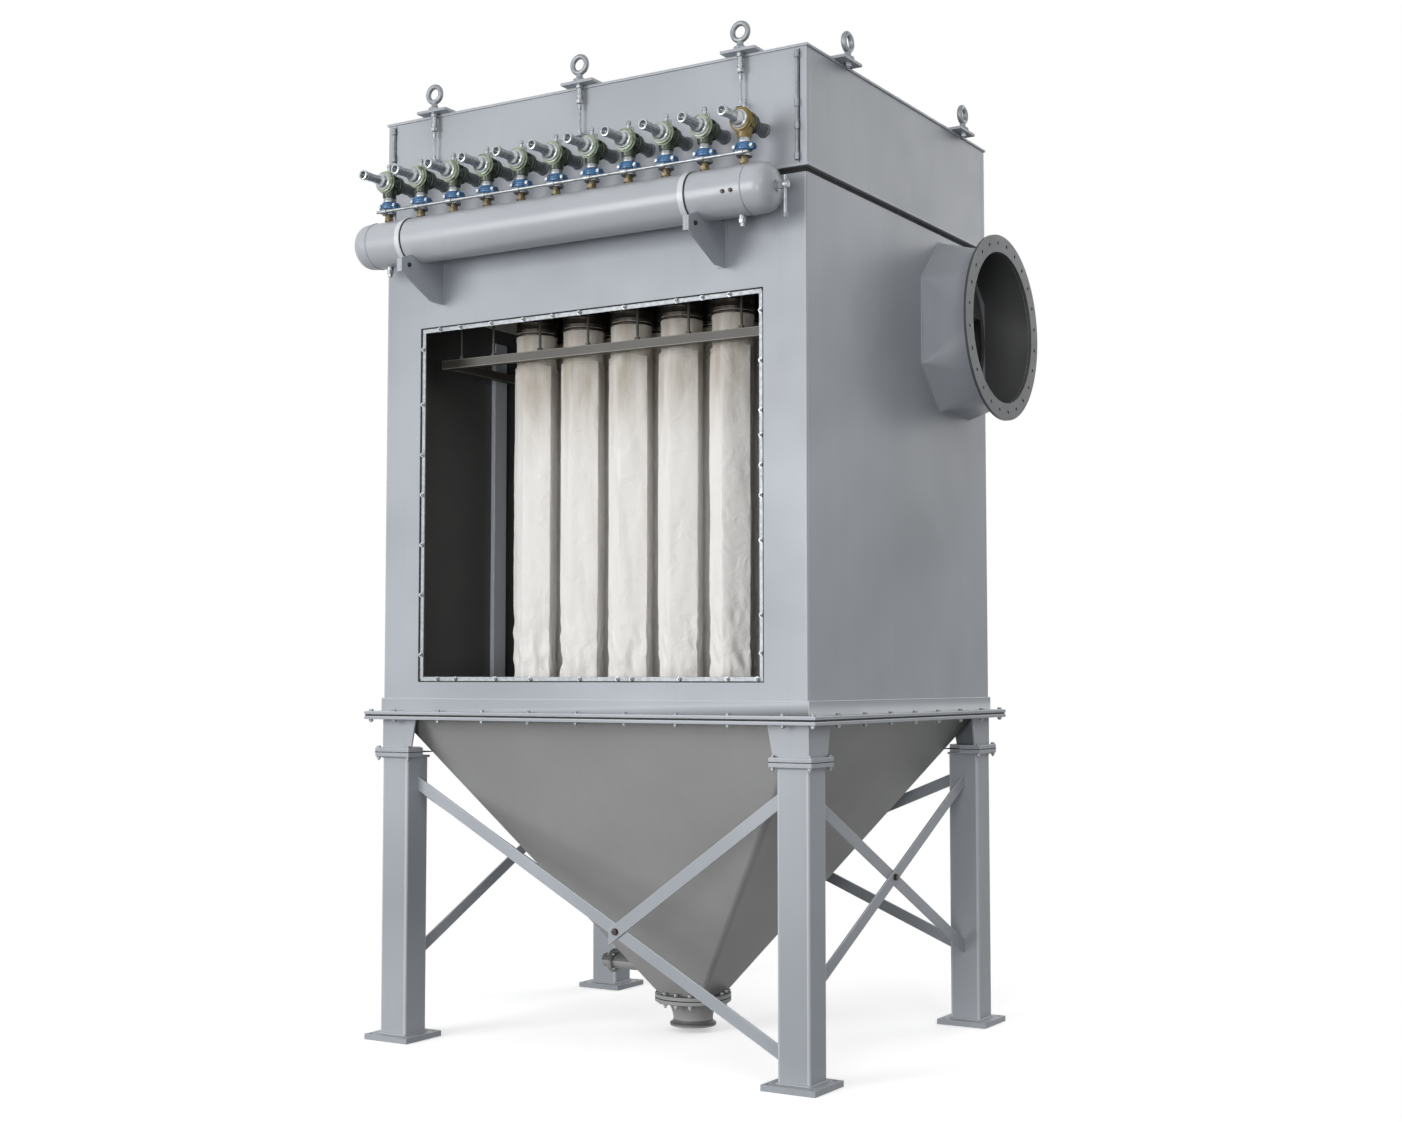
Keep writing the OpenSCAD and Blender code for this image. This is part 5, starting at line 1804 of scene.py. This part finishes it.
@dataclass
class PulseValves(Assembly):
    """Eleven pulse valves on the header, with their pilot rail and blow pipes."""

    count: int = 11
    middle: float = -0.022
    pitch: float = 0.152
    y: float = HEADER_Y
    header_top: float = 3.014
    hex_foot: float = 3.04
    clamp_foot: float = 3.058
    neck_foot: float = 3.09
    axis: float = 3.161
    rail: Flat = (-0.9129, 3.049)
    rail_r: float = 0.0055
    rail_over: float = 0.031

    def xs(self) -> list[float]:
        """Gives the valves' places along the header."""
        return [self.middle + step for step in evenly(self.count, self.pitch)]

    def lengthwise(self, way: int) -> Matrix:
        """Gives the matrix that lays a shape along the valve's axis: -1 to the front, 1 back."""
        return aimed((0, 0, self.axis), (0, way, 0))

    def build(self) -> None:
        """Builds and dresses the valves, of which the right end one is olive."""
        every = [Place((x, self.y, 0.0)) for x in self.xs()]
        green, olive = every[:-1], every[-1:]
        for name, part, places, finish, *nodes in (
                ("valve_nipples_finished", self.nipple, every, BRASS, "valve_nipples"),
                ("valve_unions_finished", self.union, every, ZINC, "valve_unions"),
                ("valve_clamps_finished", self.clamp, every, CLAMP_BLUE, "valve_clamps"),
                ("clamp_bolts", self.clamp_bolts, every, ZINC),
                ("valve_bodies_green", self.body, green, VALVE_GREEN, "valve_bodies"),
                ("valve_body_olive", self.body, olive, VALVE_OLIVE),
                ("valve_rims", self.rims, green, VALVE_RIM),
                ("valve_rim_olive", self.rims, olive, VALVE_OLIVE),
                ("valve_couplings", self.coupling, every, REAR_RING),
                ("valve_actuators_finished", self.actuator, every, ALLOY, "valve_actuators"),
                ("valve_top_bolts", self.top_bolts, every, ZINC),
                ("blow_pipes_finished", self.blow_pipe, every, PIPE_STEEL, "blow_pipes")):
            self.repeat.set_on(name, part(), places, finish, *nodes)
        self.pilot_rail()

    def nipple(self) -> Form:
        """Turns the brass nipple with its hexagon.

        Returns:
            The nipple under a valve at the origin.
        """
        low = self.header_top - 0.006
        form = Form().turned([(0.0145, low), (0.0145, low + 0.008), (0.0165, low + 0.009),
                              (0.0165, low + 0.012)], 24)
        form.nut(0.029, low + 0.011, 0.012)
        form.turned([(0.0142, low + 0.022), (0.0142, self.hex_foot)], 24)
        return form.rounded(0.0008, 1)

    def union(self) -> Form:
        """Draws the pale ring at the pilot rail, the sleeve through the clamp and the neck.

        Returns:
            The union under a valve at the origin.
        """
        low, neck = self.hex_foot, self.neck_foot
        form = Form().turned([
            (0.02, low), (0.026, low + 0.002), (0.0268, low + 0.006), (0.0255, low + 0.011),
            (0.021, low + 0.013), (0.0195, low + 0.018), (0.0195, neck + 0.002)], 28)
        return form.turned([
            (0.0215, neck - 0.002), (0.0225, neck), (0.0225, neck + 0.006), (0.0205, neck + 0.009),
            (0.02, neck + 0.02), (0.0225, neck + 0.032)], 28)

    def clamp(self) -> Form:
        """Draws the two-part clamp with its ribbed band and bolted ears.

        Returns:
            The clamp under a valve at the origin.
        """
        low, high = self.clamp_foot, self.neck_foot
        form = Form().turned([(0.0198, low + 0.003), (0.0245, low + 0.003), (0.028, low + 0.006),
                              (0.0288, low + 0.011), (0.0268, low + 0.014), (0.0268, low + 0.018),
                              (0.0288, low + 0.021), (0.028, low + 0.026), (0.0245, high - 0.003),
                              (0.0198, high - 0.003)], 32, closed=True)
        middle = (low + high) / 2
        for side in SIDES:
            for y in (-0.0115, 0.003):
                near, far = sorted((side * 0.023, side * 0.0375))
                form.block((near, y, middle - 0.01), (far, y + 0.0085, middle + 0.01))
        return form.rounded(0.0012, 2)

    def clamp_bolts(self) -> Form:
        """Draws the bolts through a clamp's ears.

        Returns:
            The bolts under a valve at the origin.
        """
        form = Form()
        middle = (self.clamp_foot + self.neck_foot) / 2
        for side in SIDES:
            at = aimed((side * 0.0325, -0.0115, middle), (0, -1, 0))
            form.nut(0.011, 0.0, 0.006, at)
            form.turned([(0.0035, -0.028), (0.0035, 0.0)], 12, at)
            form.nut(0.011, -0.03, 0.006, at)
        return form.rounded(0.0005, 1)

    def body(self) -> Form:
        """Casts the valve body: a drum along the blow pipe, ribs and a foot onto the neck.

        Returns:
            The body of a valve at the origin.
        """
        form = Form().turned([
            (0.0, -0.036), (0.027, -0.036), (0.0295, -0.031), (0.03, -0.014), (0.0335, -0.007),
            (0.034, 0.006), (0.0365, 0.011), (0.0375, 0.015), (0.0375, 0.021), (0.036, 0.023),
            (0.0, 0.023)], 40, self.lengthwise(-1))
        foot, top = self.neck_foot + 0.014, self.axis - 0.026
        form.turned([(0.0, foot), (0.0225, foot), (0.025, foot + 0.005), (0.025, foot + 0.014),
                     (0.0285, top), (0.0, top)], 28)
        for x, z in circle(0.036, 6, FULL_TURN / 12):
            form.turned([(0.0, -0.004), (0.0055, -0.004), (0.0055, 0.018), (0.0, 0.018)], 12,
                        aimed((x, 0.006, self.axis + z), (0, -1, 0)))
        return form.rounded(0.0012, 2)

    def rims(self) -> Form:
        """Turns the two pale rims in front of the body.

        Returns:
            The rims of a valve at the origin.
        """
        form = Form()
        for radius, low in ((0.0418, 0.019), (0.0385, 0.028)):
            form.turned([(radius - 0.011, low), (radius - 0.0025, low), (radius, low + 0.002),
                         (radius, low + 0.005), (radius - 0.0025, low + 0.007),
                         (radius - 0.011, low + 0.007)], 44, self.lengthwise(-1), closed=True)
        return form

    def coupling(self) -> Form:
        """Turns the dark ring that joins the body to its blow pipe.

        Returns:
            The ring of a valve at the origin.
        """
        return Form().turned([
            (0.02, 0.024), (0.03, 0.024), (0.0335, 0.027), (0.0335, 0.032), (0.031, 0.0345),
            (0.031, 0.039), (0.0335, 0.0415), (0.0335, 0.0465), (0.03, 0.05), (0.02, 0.05)],
            36, self.lengthwise(1), closed=True)

    def actuator(self) -> Form:
        """Turns the actuator: face disc, stepped shoulder, fluted barrel and bored tip.

        Returns:
            The actuator of a valve at the origin.
        """
        return Form().turned([
            (0.0, 0.03), (0.03, 0.03), (0.0312, 0.032), (0.0312, 0.037), (0.029, 0.04),
            (0.0255, 0.042), (0.0245, 0.045), (0.0245, 0.053), (0.0225, 0.057), (0.018, 0.062),
            (0.0168, 0.068), (0.0162, 0.072), (0.0162, 0.082), (0.0154, 0.084), (0.0154, 0.108),
            (0.0162, 0.11), (0.0162, 0.131), (0.0172, 0.1335), (0.0182, 0.137), (0.0182, 0.1455),
            (0.0172, 0.149), (0.0138, 0.15), (0.0122, 0.1485), (0.0122, 0.115), (0.0, 0.115)],
            32, self.lengthwise(-1))

    def top_bolts(self) -> Form:
        """Draws the upright bolts on a valve body.

        Returns:
            The bolts of a valve at the origin.
        """
        form = Form()
        foot = self.axis + 0.026
        for y, rise, r in ((-0.008, 0.068, 0.0068), (0.014, 0.054, 0.005)):
            at, top, head = Matrix.Translation((0.004, y, 0)), self.axis + rise, 1.25 * r
            form.turned([(r, foot), (r, top - 0.012), (head, top - 0.011), (head, top - 0.003),
                         (r, top)], 16, at)
            form.nut(2.9 * r, foot + 0.008, 0.009, at)
        return form.rounded(0.0006, 1)

    def blow_pipe(self) -> Form:
        """Turns the blow pipe with the rim where it meets the wall.

        Returns:
            The pipe of a valve at the origin.
        """
        reach = -self.half_d - self.y
        return Form().turned([
            (0.0, 0.036), (0.0208, 0.036), (0.0208, reach - 0.008), (0.023, reach - 0.0065),
            (0.0248, reach - 0.003), (0.0252, reach), (0.0, reach)], 32, self.lengthwise(1))

    def pilot_rail(self) -> None:
        """Runs the pilot rail along the rings, with a tee at each."""
        xs = self.xs()
        at = aimed((0, *self.rail), (1, 0, 0))
        form = Form().turned(barrel(self.rail_r, xs[0] - self.rail_over, xs[-1] + self.rail_over,
                                    0.001), 14, at)
        for x in xs:
            form.turned([(0.0, x - 0.015), (0.0075, x - 0.015), (0.0085, x - 0.013),
                         (0.0085, x + 0.013), (0.0075, x + 0.015), (0.0, x + 0.015)], 18, at)
            form.turned([(0.0, -0.002), (0.007, -0.002), (0.007, 0.012), (0.0, 0.012)], 14,
                        aimed((x, *self.rail), (0, 1, 0)))
        set_piece("pilot_rail_finished", form, ZINC, "pilot_rail")


@dataclass
class GasDuct(Assembly):
    """The duct's transition piece on the right wall and its round flange."""

    flange_x: float = 1.088
    half: Flat = (0.3, 0.32)
    chamfer: float = 0.16
    neck_r: float = 0.289
    weld_r: float = 0.0035
    weld_off: float = 0.0005

    def build(self) -> None:
        """Builds and dresses the duct."""
        dress("duct_transition", DUCT_PAINT, 0.001)
        dress("duct_flange", FLANGE_PAINT, 0.0022)
        w, h, c = *self.half, self.chamfer
        base = [(w, h - c), (w - c, h), (c - w, h), (-w, h - c), (-w, c - h), (c - w, -h),
                (w - c, -h), (w, c - h), (w, h - c)]
        across, up = DUCT_AXIS
        foot = [(self.half_w + self.weld_off, across + a, up + b) for a, b in base]
        neck = ring_path(self.flange_x - self.weld_off, DUCT_AXIS, self.neck_r)
        self.bead.run_along("duct_welds", [foot, neck], FRAME_PAINT, self.weld_r)


@dataclass
class Studio:
    """Camera at the photograph's place, soft lamps and a white floor."""

    lens: float = 48.39
    sensor: float = 36.0
    place: Point = (3.7907, -6.1665, 1.3353)
    pitch: float = math.radians(90 + 3.5158)
    heading: float = math.radians(31.3455)
    sky: float = 0.46
    floor_half: float = 40.0
    floor_low: float = -0.0006
    floor_colour: str = "#505050"
    floor_glow: float = 0.42
    fade: Flat = (1.3, 2.6)

    def build(self) -> None:
        """Sets the camera, the lamps, the world and the floor."""
        scene = bpy.context.scene
        scene.view_settings.view_transform = "Standard"
        lens = bpy.data.cameras.new("camera")
        lens.lens, lens.sensor_width, lens.clip_end = self.lens, self.sensor, 200.0
        camera = bpy.data.objects.new("camera", lens)
        camera.location = self.place
        camera.rotation_euler = (self.pitch, 0.0, self.heading)
        scene.collection.objects.link(camera)
        scene.camera = camera
        self.lamp("key", (-3.4, -8.2, 3.0), (0.0, 0.0, 1.7), 4.0, 400.0)
        self.lamp("front", (3.2, -8.8, 1.3), (0.0, 0.0, 1.6), 2.4, 195.0)
        self.lamp("right", (6.5, -5.0, 5.2), (0.6, 0.0, 2.2), 3.0, 78.0)
        self.lamp("back", (2.0, 7.5, 5.5), (0.0, 0.0, 2.0), 5.0, 150.0)
        self.world()
        self.floor()

    def lamp(self, name: str, place: Point, target: Point, size: float, power: float) -> None:
        """Adds a square soft lamp.

        Args:
            name: The lamp's name.
            place: Where it stands.
            target: Where it looks.
            size: The length of its sides.
            power: Its power in watts.
        """
        data = bpy.data.lights.new(name, "AREA")
        data.shape, data.size, data.energy = "SQUARE", size, power
        lamp = bpy.data.objects.new(name, data)
        lamp.location = place
        lamp.rotation_euler = (Vector(target) - Vector(place)).to_track_quat("-Z", "Y").to_euler()
        bpy.context.scene.collection.objects.link(lamp)

    def shown(self, net: Net) -> Socket:
        """Builds the mask of what the camera sees straight, mirrored or through glass.

        Args:
            net: The net that gets the nodes.

        Returns:
            A socket that is one where the camera sees it.
        """
        path = net.add("LightPath").node.outputs
        total = path["Is Camera Ray"]
        for name in ("Is Glossy Ray", "Is Transmission Ray"):
            total = net.add("Math", {0: total, 1: path[name]}, operation="MAXIMUM")
        return total

    def world(self) -> None:
        """Makes the world white to the eye and a dim even sky to the part."""
        world = bpy.data.worlds.new("studio")
        bpy.context.scene.world = world
        net = Net.of(world)
        strength = net.add("MapRange", {"Value": self.shown(net), "To Min": self.sky, "To Max": 1.0})
        sky = net.add("Background", {"Color": WHITE, "Strength": strength})
        net.add("OutputWorld", {"Surface": sky})

    def floor(self) -> None:
        """Lays the white floor, which keeps the part's shadow."""
        half, low = self.floor_half, self.floor_low
        mesh = bpy.data.meshes.new("studio_floor")
        mesh.from_pydata([(-half, -half, low), (half, -half, low), (half, half, low),
                          (-half, half, low)], [], [(0, 1, 2, 3)])
        mesh.materials.append(self.floor_material())
        floor = bpy.data.objects.new("studio_floor", mesh)
        bpy.context.scene.collection.objects.link(floor)

    def floor_material(self) -> bpy.types.Material:
        """Mixes the floor's paint, which glows a little to the eye and fades into the sky.

        Returns:
            The material.
        """
        made = bpy.data.materials.new("white_studio_floor")
        net = Net.of(made)
        shown = self.shown(net)
        colour = net.add("Mix", {
            "Factor": shown, "A": linear(self.floor_colour), "B": WHITE}, data_type="RGBA")
        coat = net.add("BsdfDiffuse", {"Color": colour})
        lift = net.add("Math", {0: shown, 1: self.floor_glow}, operation="MULTIPLY")
        glow = net.add("Emission", {"Color": WHITE, "Strength": lift})
        both = net.add("AddShader", {0: coat, 1: glow})
        # Beyond the part's shadow the floor is as white as the sky, so no horizon shows
        reach = net.add("VectorMath", {0: net.coords}, "Value", operation="LENGTH")
        far = net.add("MapRange", {"Value": reach, "From Min": self.fade[0], "From Max": self.fade[1]},
                      interpolation_type="SMOOTHSTEP")
        fade = net.add("Math", {0: far, 1: shown}, operation="MULTIPLY")
        sky = net.add("Emission", {"Color": WHITE})
        seen = net.add("MixShader", {0: fade, 1: both, 2: sky})
        net.add("OutputMaterial", {"Surface": seen})
        return made


def main() -> None:
    logging.basicConfig(level=logging.INFO, format="%(name)s: %(message)s")
    Studio().build()
    repeat, bead = RepeatTree(), BeadTree()
    for kind in (Stand, BaseFrame, Hopper, Housing, BagChamber, Plenum, LiftingEyes, AirHeader,
                 PulseValves, GasDuct):
        kind(repeat, bead).build()


if __name__ == "__main__":
    main()
